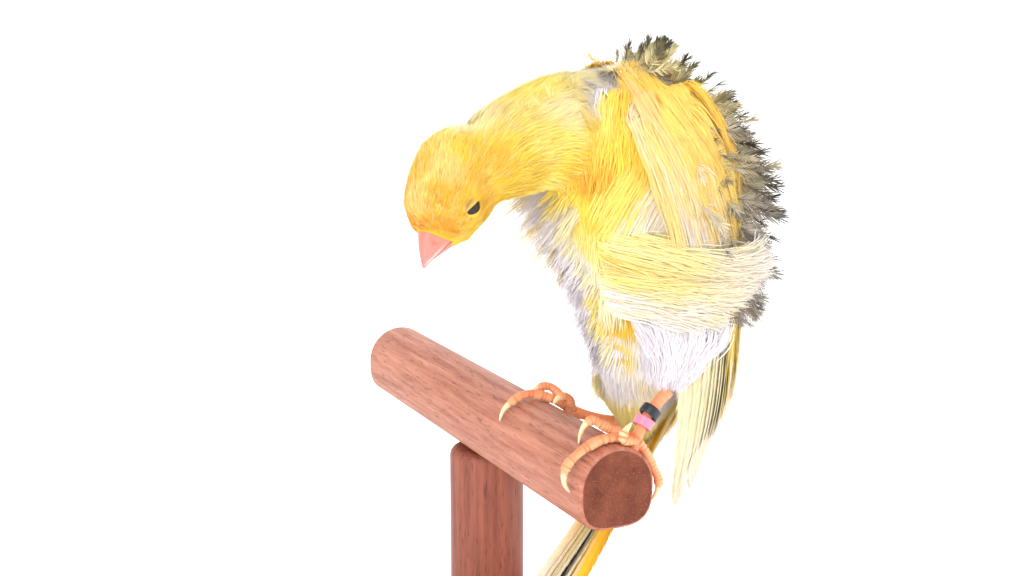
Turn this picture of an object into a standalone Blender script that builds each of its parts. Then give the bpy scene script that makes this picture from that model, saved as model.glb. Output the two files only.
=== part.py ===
# Frilled canary gripping a round perch, a still life-size model on a plain display stand.
# Shapes are worked out in millimetres and finished in metres. +Z is up, the bird looks
# towards -X with its left side towards -Y, and the perch lies along Y. The origin is on
# the underside of the stand's foot, on the axis of its post.
import math
import random

import bmesh
import bpy
import numpy as np

MM = 0.001
GAP = 0.3                       # clearance between touching pieces
NAME = "canary"

# Stand and perch
FOOT_RADIUS = 46.0
FOOT_HEIGHT = 10.0
FOOT_CENTRE = (5.0, -28.0)
POST_RADIUS = 10.25
POST_TOP = 59.7
POST_EDGE = 2.5
PERCH_RADIUS = 10.0
PERCH_Z = 70.0
PERCH_ENDS = (-73.0, 67.0)
PERCH_EDGE = 1.2
PERCH_SQUARE = 3.2              # how square the perch's lower half is: 2 would be round

# Bird
MID_Y = -50.5                   # plane of symmetry of the trunk
HEAD_CENTRE = (-34.8, -56.8, 139.5)
HEAD_FORWARD = (-0.460, -0.2396, -0.855)
HEAD_UP = (-0.790, -0.329, 0.5176)
EYE_PLACE = (2.9, -0.3, 7.1)    # along the head, towards the crown, to the side
EYE_RADIUS = 2.3
LID_HEIGHT = 1.2
LID_THICK = 0.42
BILL_TIP = (18.3, -0.2)
SKIN_VOXEL = 1.5
SKIN_FACES = 1200
VANE_THICK = 0.6

TORSO = [  # centre x, height, half depth, half width
    (17.5, 75.0, 2.5, 3.5), (18.5, 80.0, 6.0, 7.5), (20.5, 91.0, 11.5, 13.0),
    (22.0, 104.0, 15.5, 16.5), (21.0, 118.0, 18.5, 18.5), (18.5, 132.0, 22.0, 20.3),
    (15.5, 144.0, 22.0, 20.3), (12.5, 155.0, 19.0, 17.5), (11.0, 162.5, 12.5, 11.5),
    (10.5, 166.5, 4.5, 4.5)]
NECK = [  # centre x, y, z, half depth, half width
    (12, -50.5, 146, 14, 14), (4, -51, 150, 15, 14.5), (-6, -52.2, 151, 13.8, 13.4),
    (-15, -53.8, 149.5, 12, 11.8), (-23, -55.5, 146.5, 10.8, 10.6), (-29, -56.4, 143, 9, 9)]
HEAD = [  # along the head, offset towards the crown, half height, half width
    (-11, -0.6, 8.0, 7.4), (-6, -0.2, 11.2, 9.2), (0, 0.0, 11.7, 9.2), (5, 0.0, 10.6, 8.4),
    (9, -0.6, 8.4, 6.8), (11.5, -0.9, 6.2, 5.0), (13, -1.0, 3.8, 3.0)]

COLOURS = {  # base colour, roughness, metallic
    "plumage": ((0.83, 0.60, 0.16), 0.85, 0.0),
    "plumage_pale": ((0.80, 0.72, 0.55), 0.85, 0.0),
    "mantle": ((0.62, 0.52, 0.28), 0.85, 0.0),
    "flight": ((0.80, 0.66, 0.38), 0.7, 0.0),
    "skin": ((0.86, 0.42, 0.22), 0.55, 0.0),
    "bill": ((0.88, 0.42, 0.32), 0.4, 0.0),
    "eye": ((0.02, 0.015, 0.012), 0.08, 0.0),
    "ring_black": ((0.02, 0.022, 0.035), 0.35, 0.0),
    "ring_pink": ((0.85, 0.38, 0.45), 0.35, 0.0),
    "wood": ((0.42, 0.20, 0.13), 0.6, 0.0)}


def unit(v):
    v = np.asarray(v, float)
    return v / np.linalg.norm(v)


HEAD_H = unit(HEAD_FORWARD)
HEAD_C = unit(np.array(HEAD_UP) - HEAD_H * np.dot(HEAD_UP, HEAD_H))
HEAD_S = np.cross(HEAD_C, HEAD_H)      # towards the bird's left


def head_point(along, up, side):
    return np.array(HEAD_CENTRE) + HEAD_H * along + HEAD_C * up + HEAD_S * side


# Scene, collections and materials

for old in list(bpy.data.objects):
    bpy.data.objects.remove(old, do_unlink=True)
parts = bpy.data.collections.new(NAME)
cutters = bpy.data.collections.new("cutters")
bpy.context.scene.collection.children.link(parts)
bpy.context.scene.collection.children.link(cutters)


def material(name):
    found = bpy.data.materials.get(name)
    if found:
        return found
    colour, roughness, metallic = COLOURS[name]
    made = bpy.data.materials.new(name)
    made.use_nodes = True
    shader = made.node_tree.nodes["Principled BSDF"]
    shader.inputs["Base Color"].default_value = (*colour, 1)
    shader.inputs["Roughness"].default_value = roughness
    shader.inputs["Metallic"].default_value = metallic
    return made


# Small mesh tools, all in millimetres

def new_object(name, mesh, collection=cutters):
    made = bpy.data.objects.new(name, mesh)
    collection.objects.link(made)
    if collection is cutters:
        made.hide_render = True
        made.display_type = "WIRE"
    return made


def from_bmesh(name, bm):
    bmesh.ops.recalc_face_normals(bm, faces=bm.faces)
    mesh = bpy.data.meshes.new(name)
    bm.to_mesh(mesh)
    bm.free()
    return new_object(name, mesh)


def evaluated(obj):
    """The object's mesh with its modifiers applied, in place of its old mesh."""
    bpy.context.view_layer.update()
    graph = bpy.context.evaluated_depsgraph_get()
    mesh = bpy.data.meshes.new_from_object(obj.evaluated_get(graph))
    obj.modifiers.clear()
    old = obj.data
    obj.data = mesh
    bpy.data.meshes.remove(old)
    return obj


def drop(*objects):
    for obj in objects:
        bpy.data.objects.remove(obj, do_unlink=True)


def copy_of(obj, name="copy"):
    return new_object(name, obj.data.copy())


def boolean(obj, others, operation, solver="EXACT"):
    """Joins to, cuts from or keeps inside obj what a collection of closed objects holds."""
    group = bpy.data.collections.new("group")
    bpy.context.scene.collection.children.link(group)
    for other in others:
        group.objects.link(other)
    step = obj.modifiers.new("fuse", "BOOLEAN")
    step.operand_type = "COLLECTION"
    step.collection = group
    step.operation = operation
    step.solver = solver
    evaluated(obj)
    bpy.data.collections.remove(group)
    return obj


def keep_largest(obj):
    """Leaves only the largest closed surface."""
    bm = bmesh.new()
    bm.from_mesh(obj.data)
    seen, shells = set(), []
    for face in bm.faces:
        if face in seen:
            continue
        shell, todo = [], [face]
        seen.add(face)
        while todo:
            here = todo.pop()
            shell.append(here)
            for edge in here.edges:
                for other in edge.link_faces:
                    if other not in seen:
                        seen.add(other)
                        todo.append(other)
        shells.append(shell)
    shells.sort(key=lambda shell: sum(face.calc_area() for face in shell))
    loose = [face for shell in shells[:-1] for face in shell]
    bmesh.ops.delete(bm, geom=loose, context="FACES")
    bm.to_mesh(obj.data)
    bm.free()
    return obj


def swollen(obj, amount):
    """A copy of obj moved outwards along its vertex normals."""
    made = copy_of(obj, "swollen")
    bm = bmesh.new()
    bm.from_mesh(made.data)
    bm.normal_update()
    moved = [(vert, vert.co + vert.normal * amount) for vert in bm.verts]
    for vert, place in moved:
        vert.co = place
    bm.to_mesh(made.data)
    bm.free()
    return made


def smooth_rows(rows, count):
    """Rows of numbers resampled along a smooth curve through them."""
    rows = np.array(rows, float)
    out = []
    for t in np.linspace(0, len(rows) - 1, count):
        i = min(int(t), len(rows) - 2)
        f = t - i
        p0, p1, p2, p3 = (rows[min(max(k, 0), len(rows) - 1)] for k in range(i - 1, i + 3))
        out.append(0.5 * (2 * p1 + (p2 - p0) * f + (2 * p0 - 5 * p1 + 4 * p2 - p3) * f * f
                          + (3 * p1 - p0 - 3 * p2 + p3) * f ** 3))
    return np.array(out)


def loft(name, rings):
    """A closed skin over rings of points, each end closed by a fan round its middle."""
    bm = bmesh.new()
    loops = [[bm.verts.new(p) for p in ring] for ring in rings]
    sides = len(loops[0])
    for low, high in zip(loops, loops[1:]):
        for k in range(sides):
            n = (k + 1) % sides
            bm.faces.new((low[k], low[n], high[n], high[k]))
    for loop in (loops[0], loops[-1]):
        middle = bm.verts.new(np.mean([v.co for v in loop], axis=0))
        for k in range(sides):
            bm.faces.new((loop[k], loop[(k + 1) % sides], middle))
    return from_bmesh(name, bm)


def tube(name, centres, depths, widths, side, sides=24):
    """An elliptic tube: depths across the side direction, widths along it."""
    centres = np.array(centres, float)
    rings = []
    for i, centre in enumerate(centres):
        run = unit(centres[min(i + 1, len(centres) - 1)] - centres[max(i - 1, 0)])
        across = unit(np.array(side, float) - run * np.dot(side, run))
        deep = np.cross(run, across)
        turns = np.linspace(0, 2 * math.pi, sides, endpoint=False)
        rings.append([centre + deep * depths[i] * math.cos(t) + across * widths[i] * math.sin(t)
                      for t in turns])
    return loft(name, rings)


def ball(name, centre, radius, segments=16, rings=10, stretch=(1, 1, 1)):
    bm = bmesh.new()
    bmesh.ops.create_uvsphere(bm, u_segments=segments, v_segments=rings, radius=radius)
    bmesh.ops.scale(bm, vec=stretch, verts=bm.verts)
    bmesh.ops.translate(bm, vec=centre, verts=bm.verts)
    return from_bmesh(name, bm)


def block(name, planes, size=260.0):
    """The convex space on the inner side of planes, each a point and an outward normal."""
    bm = bmesh.new()
    bmesh.ops.create_cube(bm, size=size)
    bmesh.ops.translate(bm, vec=(0, MID_Y, 130), verts=bm.verts)
    for point, normal in planes:
        geometry = bm.verts[:] + bm.edges[:] + bm.faces[:]
        bmesh.ops.bisect_plane(bm, geom=geometry, plane_co=point, plane_no=normal,
                               clear_outer=True)
        rim = [edge for edge in bm.edges if edge.is_boundary]
        bmesh.ops.contextual_create(bm, geom=rim)
    return from_bmesh(name, bm)


def vane(name, points, normals, widths, thick=VANE_THICK, stations=5):
    """A flat feather or lock along a smooth line, narrowed to its tip. Both faces are split
    into triangles alike, so that a curved one never crosses itself."""
    points = smooth_rows(points, stations)
    normals = np.asarray(normals, float)
    normals = smooth_rows(normals, stations) if normals.ndim == 2 else [normals] * stations
    widths = smooth_rows([[w] for w in widths], stations)[:, 0]
    bm = bmesh.new()
    rings = []
    for i, point in enumerate(points):
        run = unit(points[min(i + 1, stations - 1)] - points[max(i - 1, 0)])
        across = unit(np.cross(run, normals[i]))
        up = np.cross(across, run)
        wide = across * max(widths[i], 0.35) / 2
        deep = up * (thick if i < stations - 1 else thick * 0.5) / 2
        rings.append([bm.verts.new(point + a * wide + b * deep)
                      for a, b in ((-1, 1), (1, 1), (1, -1), (-1, -1))])
    for low, high in zip(rings, rings[1:]):
        for k in range(4):
            n = (k + 1) % 4
            if k == 2:
                bm.faces.new((low[k], low[n], high[k]))
                bm.faces.new((low[n], high[n], high[k]))
            else:
                bm.faces.new((low[k], low[n], high[n]))
                bm.faces.new((low[k], high[n], high[k]))
    for ring in (rings[0], rings[-1]):
        bm.faces.new((ring[0], ring[1], ring[2]))
        bm.faces.new((ring[0], ring[2], ring[3]))
    return from_bmesh(name, bm)


def finish(obj, name, slot):
    """Moves a shape to the part's collection, in metres, with its name and material."""
    keep_largest(obj)
    bm = bmesh.new()
    bm.from_mesh(obj.data)
    bmesh.ops.scale(bm, vec=(MM, MM, MM), verts=bm.verts)
    bmesh.ops.triangulate(bm, faces=bm.faces)
    mesh = bpy.data.meshes.new(name)
    bm.to_mesh(mesh)
    bm.free()
    drop(obj)
    mesh.materials.append(material(slot))
    mesh.shade_smooth()
    mesh.set_sharp_from_angle(angle=math.radians(40))
    made = new_object(name, mesh, parts)
    return made


# Stand and perch

def turned(name, profile, segments):
    """A solid turned about Z from a profile of (radius, height) pairs, bottom to top."""
    rings = [[(r * math.cos(t), r * math.sin(t), z)
              for t in np.linspace(0, 2 * math.pi, segments, endpoint=False)] for r, z in profile]
    return loft(name, rings)


def make_stand_foot():
    edge = 1.5
    profile = [(FOOT_RADIUS - edge / 2, 0), (FOOT_RADIUS, edge / 2),
               (FOOT_RADIUS, FOOT_HEIGHT - edge), (FOOT_RADIUS - edge, FOOT_HEIGHT)]
    foot = turned("foot", profile, 40)
    for vert in foot.data.vertices:
        vert.co.x += FOOT_CENTRE[0]
        vert.co.y += FOOT_CENTRE[1]
    return foot


def make_post():
    profile = [(POST_RADIUS, FOOT_HEIGHT + GAP), (POST_RADIUS, POST_TOP - POST_EDGE)]
    for step in (1, 2, 3):
        turn = math.radians(30 * step)
        profile.append((POST_RADIUS - POST_EDGE * (1 - math.cos(turn)),
                        POST_TOP - POST_EDGE * (1 - math.sin(turn))))
    return turned("post", profile, 26)


def perch_reach(turn, radius):
    """Distance of the perch's skin from its axis: round above, squared off below."""
    if math.sin(turn) >= 0:
        return radius
    corner = abs(math.cos(turn)) ** PERCH_SQUARE + abs(math.sin(turn)) ** PERCH_SQUARE
    return radius / corner ** (1 / PERCH_SQUARE)


def make_perch():
    """Dowel with eased ends, round on top and squared off below."""
    low, high = PERCH_ENDS
    places = [(low, PERCH_RADIUS - PERCH_EDGE), (low + 0.35 * PERCH_EDGE, PERCH_RADIUS - 0.3),
              (low + PERCH_EDGE, PERCH_RADIUS), (high - PERCH_EDGE, PERCH_RADIUS),
              (high - 0.35 * PERCH_EDGE, PERCH_RADIUS - 0.3), (high, PERCH_RADIUS - PERCH_EDGE)]
    rings = []
    for y, radius in places:
        turns = np.linspace(0, 2 * math.pi, 32, endpoint=False)
        rings.append([(perch_reach(t, radius) * math.cos(t), y,
                       PERCH_Z + perch_reach(t, radius) * math.sin(t)) for t in turns])
    return loft("perch", rings)


# Body

def make_flesh():
    """Head, neck and trunk as one smooth skin."""
    rows = smooth_rows(TORSO, 26)
    torso = tube("torso", [(x, MID_Y, z) for x, z, _, _ in rows], rows[:, 2], rows[:, 3], (0, 1, 0))
    rows = smooth_rows(NECK, 16)
    neck = tube("neck", rows[:, :3], rows[:, 3], rows[:, 4], (0, 1, 0))
    rows = smooth_rows(HEAD, 16)
    head = tube("head", [head_point(a, up, 0) for a, up, _, _ in rows], rows[:, 2], rows[:, 3],
                HEAD_S)
    flesh = boolean(torso, [neck, head], "UNION")
    drop(neck, head)
    step = flesh.modifiers.new("even", "REMESH")
    step.mode = "VOXEL"
    step.voxel_size = SKIN_VOXEL
    step = flesh.modifiers.new("soft", "SMOOTH")
    step.factor = 0.5
    step.iterations = 10
    evaluated(flesh)
    step = flesh.modifiers.new("fewer", "DECIMATE")
    step.ratio = SKIN_FACES / (2 * len(flesh.data.polygons))
    evaluated(flesh)
    return flesh


def region(flesh, name, planes, less=()):
    """The part of the flesh inside planes, less any other blocks."""
    piece = copy_of(flesh, name)
    space = block("space", planes)
    boolean(piece, [space], "INTERSECT")
    drop(space)
    for planes_out in less:
        space = block("space", planes_out)
        boolean(piece, [space], "DIFFERENCE")
        drop(space)
    return keep_largest(piece)


SPLIT_X = 17.5
WAIST_Z = 112.0
FLANK_Z = (97.0, 126.0)
FLANK_DEPTH = 12.0              # how far the flank's inner face is from the mid plane
NECK_CUT = ((-8.0, MID_Y, 149.0), unit((-0.97, -0.05, 0.22)))
HEAD_CUT = ((-26.0, -55.5, 146.0), unit((-0.85, -0.15, -0.5)))


def moved(plane, distance):
    point, normal = plane
    return np.array(point) + np.array(normal) * distance, normal


def flipped(plane):
    return plane[0], -np.array(plane[1])


def flank_space(side, grow):
    inner = ((0, MID_Y + side * (FLANK_DEPTH - grow), 0), (0, -side, 0))
    return [inner, ((SPLIT_X - GAP / 2 + grow, 0, 0), (1, 0, 0)),
            ((0, 0, FLANK_Z[0] - grow), (0, 0, -1)), ((0, 0, FLANK_Z[1] + grow), (0, 0, 1))]


def make_regions():
    flesh = make_flesh()
    half = GAP / 2
    front = ((SPLIT_X - half, 0, 0), (1, 0, 0))
    back = ((SPLIT_X + half, 0, 0), (-1, 0, 0))
    above = ((0, 0, WAIST_Z + half), (0, 0, -1))
    below = ((0, 0, WAIST_Z - half), (0, 0, 1))
    trunk = moved(NECK_CUT, -half)
    flanks = [flank_space(side, GAP) for side in (-1, 1)]
    made = {
        "head": region(flesh, "head", [flipped(moved(HEAD_CUT, half))]),
        "neck": region(flesh, "neck", [moved(HEAD_CUT, -half), flipped(moved(NECK_CUT, half))]),
        "breast": region(flesh, "breast", [trunk, front, above], flanks),
        "belly": region(flesh, "belly", [trunk, front, below], flanks),
        "mantle": region(flesh, "mantle", [trunk, back, above]),
        "rump": region(flesh, "rump", [trunk, back, below]),
        "flank_left": region(flesh, "flank_left", flank_space(-1, 0)),
        "flank_right": region(flesh, "flank_right", flank_space(1, 0))}
    drop(flesh)
    return made


# Wings: each follows a curved sheet between its leading and rear edges

WING_ROWS = [  # leading edge, middle line and rear edge, at five heights of the left wing
    ((5.5, -66.0, 160.5), (17.0, -70.0, 163.0), (27.0, -62.5, 163.0)),
    ((10.5, -72.6, 143.0), (23.5, -72.6, 144.0), (33.5, -64.5, 145.0)),
    ((16.5, -72.8, 122.0), (29.0, -70.6, 123.0), (36.8, -60.0, 124.0)),
    ((19.5, -70.5, 103.0), (30.5, -68.5, 104.0), (37.8, -60.0, 106.0)),
    ((22.5, -66.0, 82.0), (31.5, -64.5, 84.0), (37.5, -60.0, 86.0)),
    ((24.5, -62.5, 65.5), (28.5, -61.5, 66.0), (31.5, -59.5, 67.5))]


WING_SHEET = smooth_rows(np.array(WING_ROWS).reshape(6, 9), 61)
WING_FLOOR = -1.1               # inner and outer reach of the wing from its sheet
WING_CEILING = 4.1


def sheet_point(along, across):
    place = min(max(along, 0.0), 1.0) * 60
    i = min(int(place), 59)
    lead, middle, rear = (WING_SHEET[i] + (WING_SHEET[i + 1] - WING_SHEET[i]) * (place - i)
                          ).reshape(3, 3)
    bow = middle - (lead + rear) / 2
    over = (along - 1.0) * 88 if along > 1 else 0.0
    return lead * (1 - across) + rear * across + bow * 4 * across * (1 - across) - (0, 0, over)


def sheet_normal(along, across):
    along = min(max(along, 0.02), 0.98)
    down = sheet_point(along + 0.02, across) - sheet_point(along - 0.02, across)
    over = sheet_point(along, across + 0.05) - sheet_point(along, across - 0.05)
    normal = unit(np.cross(down, over))
    return normal if np.dot(normal, (0.3, -1, 0)) > 0 else -normal


def wing_place(along, across, out, side):
    """Point and outward normal on the wing: along 0 at the shoulder to 1 at the tip, across 0
    at the leading edge to 1 at the rear edge, out in millimetres from the sheet."""
    normal = sheet_normal(along, across)
    point = sheet_point(along, across) + normal * out
    if side > 0:
        point[1] = 2 * MID_Y - point[1]
        normal = normal * (1, -1, 1)
    return point, normal


def wing_slab(side, low, high, floor, ceiling, sides=12, count=14, taper=0.0):
    """A closed slab along the wing's sheet, between two heights off it."""
    rings = []
    for along in np.linspace(low, high, count):
        narrow = 0.5 + 0.5 * min(1.0, 0.25 + (along - low) * 7) - taper * max(0, along - 0.5)
        ring = []
        for t in np.linspace(0, 2 * math.pi, sides, endpoint=False):
            across = 0.5 - math.cos(t) * 0.5 * narrow
            out = (floor + ceiling) / 2 + math.sin(t) * (ceiling - floor) / 2
            ring.append(wing_place(along, across, out, side)[0])
        rings.append(ring)
    return loft("slab", rings)


def wing_envelope(side):
    """The room that a wing needs, gap included."""
    rings = []
    for along in np.linspace(-0.02, 1.04, 12):
        edges = (-0.07, 0.25, 0.5, 0.75, 1.07)
        ring = [wing_place(along, across, WING_CEILING + GAP, side)[0] for across in edges]
        ring += [wing_place(along, across, WING_FLOOR - GAP, side)[0] for across in edges[::-1]]
        rings.append(ring)
    return loft("envelope", rings)


FEATHER_RISE = 0.09             # share of the wing over which a feather leaves its core
LEVEL = 0.95                    # step between feathers that lie over one another
FLIGHT_TIPS = (1.0, 0.97, 0.93, 0.88, 0.81, 0.77, 0.79, 0.86, 0.75)
COVERT_TIERS = [  # how many, root and tip along the wing, width, height at the tip
    (6, 0.15, 0.50, 5.8, 2.15), (5, 0.03, 0.28, 6.2, 2.55)]


def feather(side, along, across, heights, widths, stations):
    """A wing feather from its root to its tip, sunk at the root and level beyond it."""
    points, normals = [], []
    for t in (0, 0.2, 0.45, 0.75, 1):
        rise = min(1.0, (along[1] - along[0]) * t / FEATHER_RISE)
        height = heights[0] + (heights[1] - heights[0]) * rise
        point, normal = wing_place(along[0] + (along[1] - along[0]) * t,
                                   across[0] + (across[1] - across[0]) * t, height, side)
        points.append(point)
        normals.append(normal)
    return vane("feather", points, normals, widths, stations=stations)


def make_wing(side):
    """A folded wing: a thin core under the flight feathers and two tiers of coverts. Every
    second feather of a tier lies over its neighbours."""
    wing = wing_slab(side, 0.0, 0.52, WING_FLOOR, -0.2, 10, 9)
    vanes = []
    for k, tip in enumerate(FLIGHT_TIPS):
        f = k / (len(FLIGHT_TIPS) - 1)
        width = 4.3 + 0.5 * f
        level = 0.2 + LEVEL * (k % 2)
        across = (0.08 + 0.84 * f, 0.10 + 0.82 * f)
        vanes.append(feather(side, (0.36, tip), across, (-0.65, level),
                             (width * 0.7, width, width, width * 0.9, width * 0.4), 5))
    for count, root, tip, width, top in COVERT_TIERS:
        for k in range(count):
            f = k / (count - 1)
            across = 0.10 + 0.80 * f
            vanes.append(feather(side, (root, tip - 0.02 * f), (across, across),
                                 (-0.65, top + LEVEL * (k % 2)),
                                 (width * 0.6, width, width, width * 0.9, width * 0.4), 4))
    boolean(wing, vanes, "UNION", "MANIFOLD")
    drop(*vanes)
    return wing


# Tail

TAIL_ROWS = [  # centre x, height, half thickness, half width
    (31.5, 97.0, 4.5, 7.5), (30.0, 90.0, 4.0, 7.2), (26.8, 82.5, 2.8, 7.0), (19.8, 71.5, 1.8, 7.4),
    (12.5, 60.0, 1.4, 7.8), (5.0, 49.0, 1.1, 8.4), (-3.0, 38.5, 0.8, 9.0), (-5.5, 34.5, 0.6, 7.0)]
TAIL_LINE = smooth_rows(TAIL_ROWS, 41)
TAIL_FEATHERS = 7


def tail_place(along, across, out):
    """Point and upper normal on the tail: across -1 to 1, out towards its upper side."""
    place = along * 40
    i = min(int(place), 39)
    here = TAIL_LINE[i] + (TAIL_LINE[i + 1] - TAIL_LINE[i]) * (place - i)
    run = unit(TAIL_LINE[min(i + 1, 40)][:2] - TAIL_LINE[max(i - 1, 0)][:2])
    normal = np.array((-run[1], 0.0, run[0]))
    normal = normal if normal[0] > 0 else -normal
    return np.array((here[0], MID_Y + across * here[3], here[1])) + normal * out, normal


def make_tail():
    """Closed tail: a stub under the coverts, and feathers whose middle pair lies on top."""
    rows = TAIL_LINE[:20:3]
    tail = tube("tail", [(x, MID_Y, z) for x, z, _, _ in rows], rows[:, 2] * 0.8,
                rows[:, 3] * 0.85, (0, 1, 0), sides=12)
    vanes = []
    for k in range(TAIL_FEATHERS):
        spread = 2 * k / (TAIL_FEATHERS - 1) - 1
        depth = -0.5 + LEVEL * (k % 2)
        end = 0.985 - 0.05 * (1 - abs(spread)) - 0.05 * abs(spread) ** 6
        places = [tail_place(0.22 + (end - 0.22) * t, spread * (0.45 + 0.42 * t), depth)
                  for t in (0, 0.25, 0.5, 0.75, 1)]
        vanes.append(vane("feather", [p for p, _ in places], [n for _, n in places],
                          [3.0, 4.0, 4.5, 4.3, 1.4]))
    for upper, count, start, length in ((1, 4, 0.05, 0.30), (1, 3, 0.16, 0.34), (-1, 2, 0.12, 0.32)):
        for k in range(count):
            spread = 2 * k / (count - 1) - 1
            middle = tail_place(start + length * 0.5, spread * 0.62, upper * 2.4)
            points = [tail_place(start, spread * 0.5, upper * 2.0)[0], middle[0],
                      tail_place(start + length, spread * 0.6, upper * 1.7)[0]]
            vanes.append(vane("covert", points, middle[1], [3.4, 4.2, 1.2], 0.7, 4))
    boolean(tail, vanes, "UNION", "MANIFOLD")
    drop(*vanes)
    return tail


def tail_envelope():
    rings = []
    for along in np.linspace(0.0, 1.0, 9):
        reach = TAIL_LINE[int(along * 40)][2] * 0.8 + 0.6
        ring = []
        for across, out in ((-1.12, -1), (0, -1.2), (1.12, -1), (1.12, 1), (0, 1.2), (-1.12, 1)):
            ring.append(tail_place(along, across, out * (max(reach, 2.9) + GAP))[0])
        rings.append(np.array(ring))
    rings[0] += unit(rings[0][0] - rings[1][0])
    return loft("envelope", rings)


# Legs

LEGS = {  # hip, mid thigh, lower thigh, ankle, mid shank and the toes' root
    "left": ((22.0, -61.5, 109.0), (21.2, -64.6, 100.0), (18.8, -66.2, 94.0),
             (17.0, -67.0, 90.4), (10.2, -68.0, 84.4), (6.4, -68.9, 78.3)),
    "right": ((22.0, -39.5, 109.0), (18.5, -41.0, 96.0), (17.2, -41.5, 86.0),
              (22.0, -38.5, 74.0), (15.5, -36.0, 75.2), (9.2, -32.8, 77.2))}
THIGH_RADII = {"left": (8.5, 6.2, 4.2, 2.2), "right": (8.5, 6.6, 5.6, 2.2)}
SHANK_RADIUS = 1.35
RING_PLACES = (("ring_black", 7.2), ("ring_pink", 10.2))    # distance below the ankle
RING_LENGTH = 2.4
RING_RADIUS = 2.45
TOE_RADIUS = 1.12
TOES = {  # turn round the perch from its top towards the front, height off it, place along Y
    "left": [
        [(-34, 1.6, -69.0), (-5, 1.3, -69.2), (24, 1.7, -69.4), (46, 2.4, -69.4),
         (63, 3.1, -69.3), (79, 2.4, -69.2), (92, 0.6, -69.2)],
        [(-34, 1.8, -68.4), (-12, 2.2, -65.6), (0, 3.4, -64.6), (8, 4.7, -64.2),
         (18, 3.9, -64.0), (31, 0.7, -63.8)],
        [(-34, 1.7, -69.4), (-20, 1.3, -70.8), (-10, 1.7, -71.5), (-12, 3.6, -71.3),
         (-18, 5.6, -70.8)],
        [(-40, 1.8, -69.0), (-58, 1.4, -69.6), (-75, 1.5, -70.0), (-91, 2.7, -70.2),
         (-103, 2.9, -70.2), (-117, 2.0, -70.2)]],
    "right": [
        [(-52, 1.7, -32.6), (-32, 1.4, -30.8), (-14, 1.4, -29.0), (8, 1.9, -28.0),
         (26, 1.6, -27.8), (44, 1.4, -27.8), (59, 0.6, -27.8)],
        [(-52, 1.7, -33.2), (-40, 2.6, -34.4), (-28, 3.5, -35.2), (-18, 2.6, -35.6),
         (-12, 0.8, -35.8)],
        [(-52, 1.7, -32.0), (-40, 2.8, -29.0), (-27, 3.9, -26.5), (-14, 2.6, -25.4),
         (-4, 0.7, -25.0)],
        [(-60, 1.7, -32.6), (-78, 1.4, -32.0), (-96, 1.5, -31.8), (-112, 2.4, -31.8),
         (-126, 1.5, -31.8)]]}


def round_perch(turn, height, y):
    reach = PERCH_RADIUS + height
    turn = math.radians(turn)
    return np.array((-reach * math.sin(turn), y, PERCH_Z + reach * math.cos(turn)))


def make_toe(rows):
    """A toe and its claw along the perch, thicker at its joints."""
    rows = smooth_rows(rows, 9)
    centres = [round_perch(*row) for row in rows]
    radii = []
    for i in range(len(rows)):
        along = i / (len(rows) - 1)
        radius = TOE_RADIUS * (1.05 - 0.25 * along) * (1 + 0.09 * math.cos(along * 19))
        if along > 0.7:
            radius = TOE_RADIUS * 0.62 * (1 - (along - 0.7) / 0.3) + 0.22
        radii.append(radius)
    return tube("toe", centres, radii, radii, (0, 1, 0), sides=5)


def make_foot(side):
    root = np.array(LEGS[side][5])
    pad = ball("pad", root + (-0.3, 0, -0.2), 1.8, 8, 6)
    toes = [make_toe(rows) for rows in TOES[side]]
    boolean(pad, toes, "UNION")
    drop(*toes)
    return pad


def shank_line(side, count=25):
    return smooth_rows(LEGS[side][3:6], count)


def shank_place(side, distance):
    """Point and direction on the shank, at a distance below the ankle."""
    line = shank_line(side)
    for here, after in zip(line, line[1:]):
        step = np.linalg.norm(after - here)
        if distance <= step:
            return here + (after - here) * distance / step, unit(after - here)
        distance -= step
    return line[-1], unit(line[-1] - line[-2])


def make_shank(side):
    line = shank_line(side)
    length = sum(np.linalg.norm(b - a) for a, b in zip(line, line[1:]))
    places = [0.6, 2.2, 4.5, length * 0.45, length * 0.65, length - 3.8, length - 1.8 - GAP]
    swell = [1.25, 1.1, 1.0, 0.96, 0.97, 1.0, 1.12]
    radii = [SHANK_RADIUS * s for s in swell]
    centres = [shank_place(side, place)[0] for place in places]
    return tube("shank", centres, radii, radii, (0, 1, 0), sides=10)


def make_ring(side, middle):
    """A closed leg ring round the shank."""
    centre, run = shank_place(side, middle)
    half = RING_LENGTH / 2
    inner = SHANK_RADIUS + GAP + 0.12
    outline = [(inner, -half), (RING_RADIUS - 0.25, -half), (RING_RADIUS, 0.25 - half),
               (RING_RADIUS, half - 0.25), (RING_RADIUS - 0.25, half), (inner, half)]
    across = unit(np.cross(run, (0, 0, 1)))
    deep = np.cross(run, across)
    bm = bmesh.new()
    loops = []
    for t in np.linspace(0, 2 * math.pi, 14, endpoint=False):
        way = across * math.cos(t) + deep * math.sin(t)
        loops.append([bm.verts.new(centre + way * r + run * a) for r, a in outline])
    for i, loop in enumerate(loops):
        after = loops[(i + 1) % len(loops)]
        for k in range(len(outline)):
            n = (k + 1) % len(outline)
            bm.faces.new((loop[k], loop[n], after[n], after[k]))
    return from_bmesh("ring", bm)


def thigh_rows(side, count):
    rows = [(*place, radius) for place, radius in zip(LEGS[side], THIGH_RADII[side])]
    return smooth_rows(rows, count)


def thigh_envelope(side):
    """The room that an upper leg and its locks need, gap included."""
    rows = thigh_rows(side, 7)
    rows[0] += unit(rows[0] - rows[1]) * 1.5
    rows[-1] += unit(rows[-1] - rows[-2]) * 1.5
    radii = rows[:, 3] * 0.95 + 1.9 + GAP
    return tube("envelope", rows[:, :3], radii, radii, (0, 1, 0), sides=12)


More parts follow.
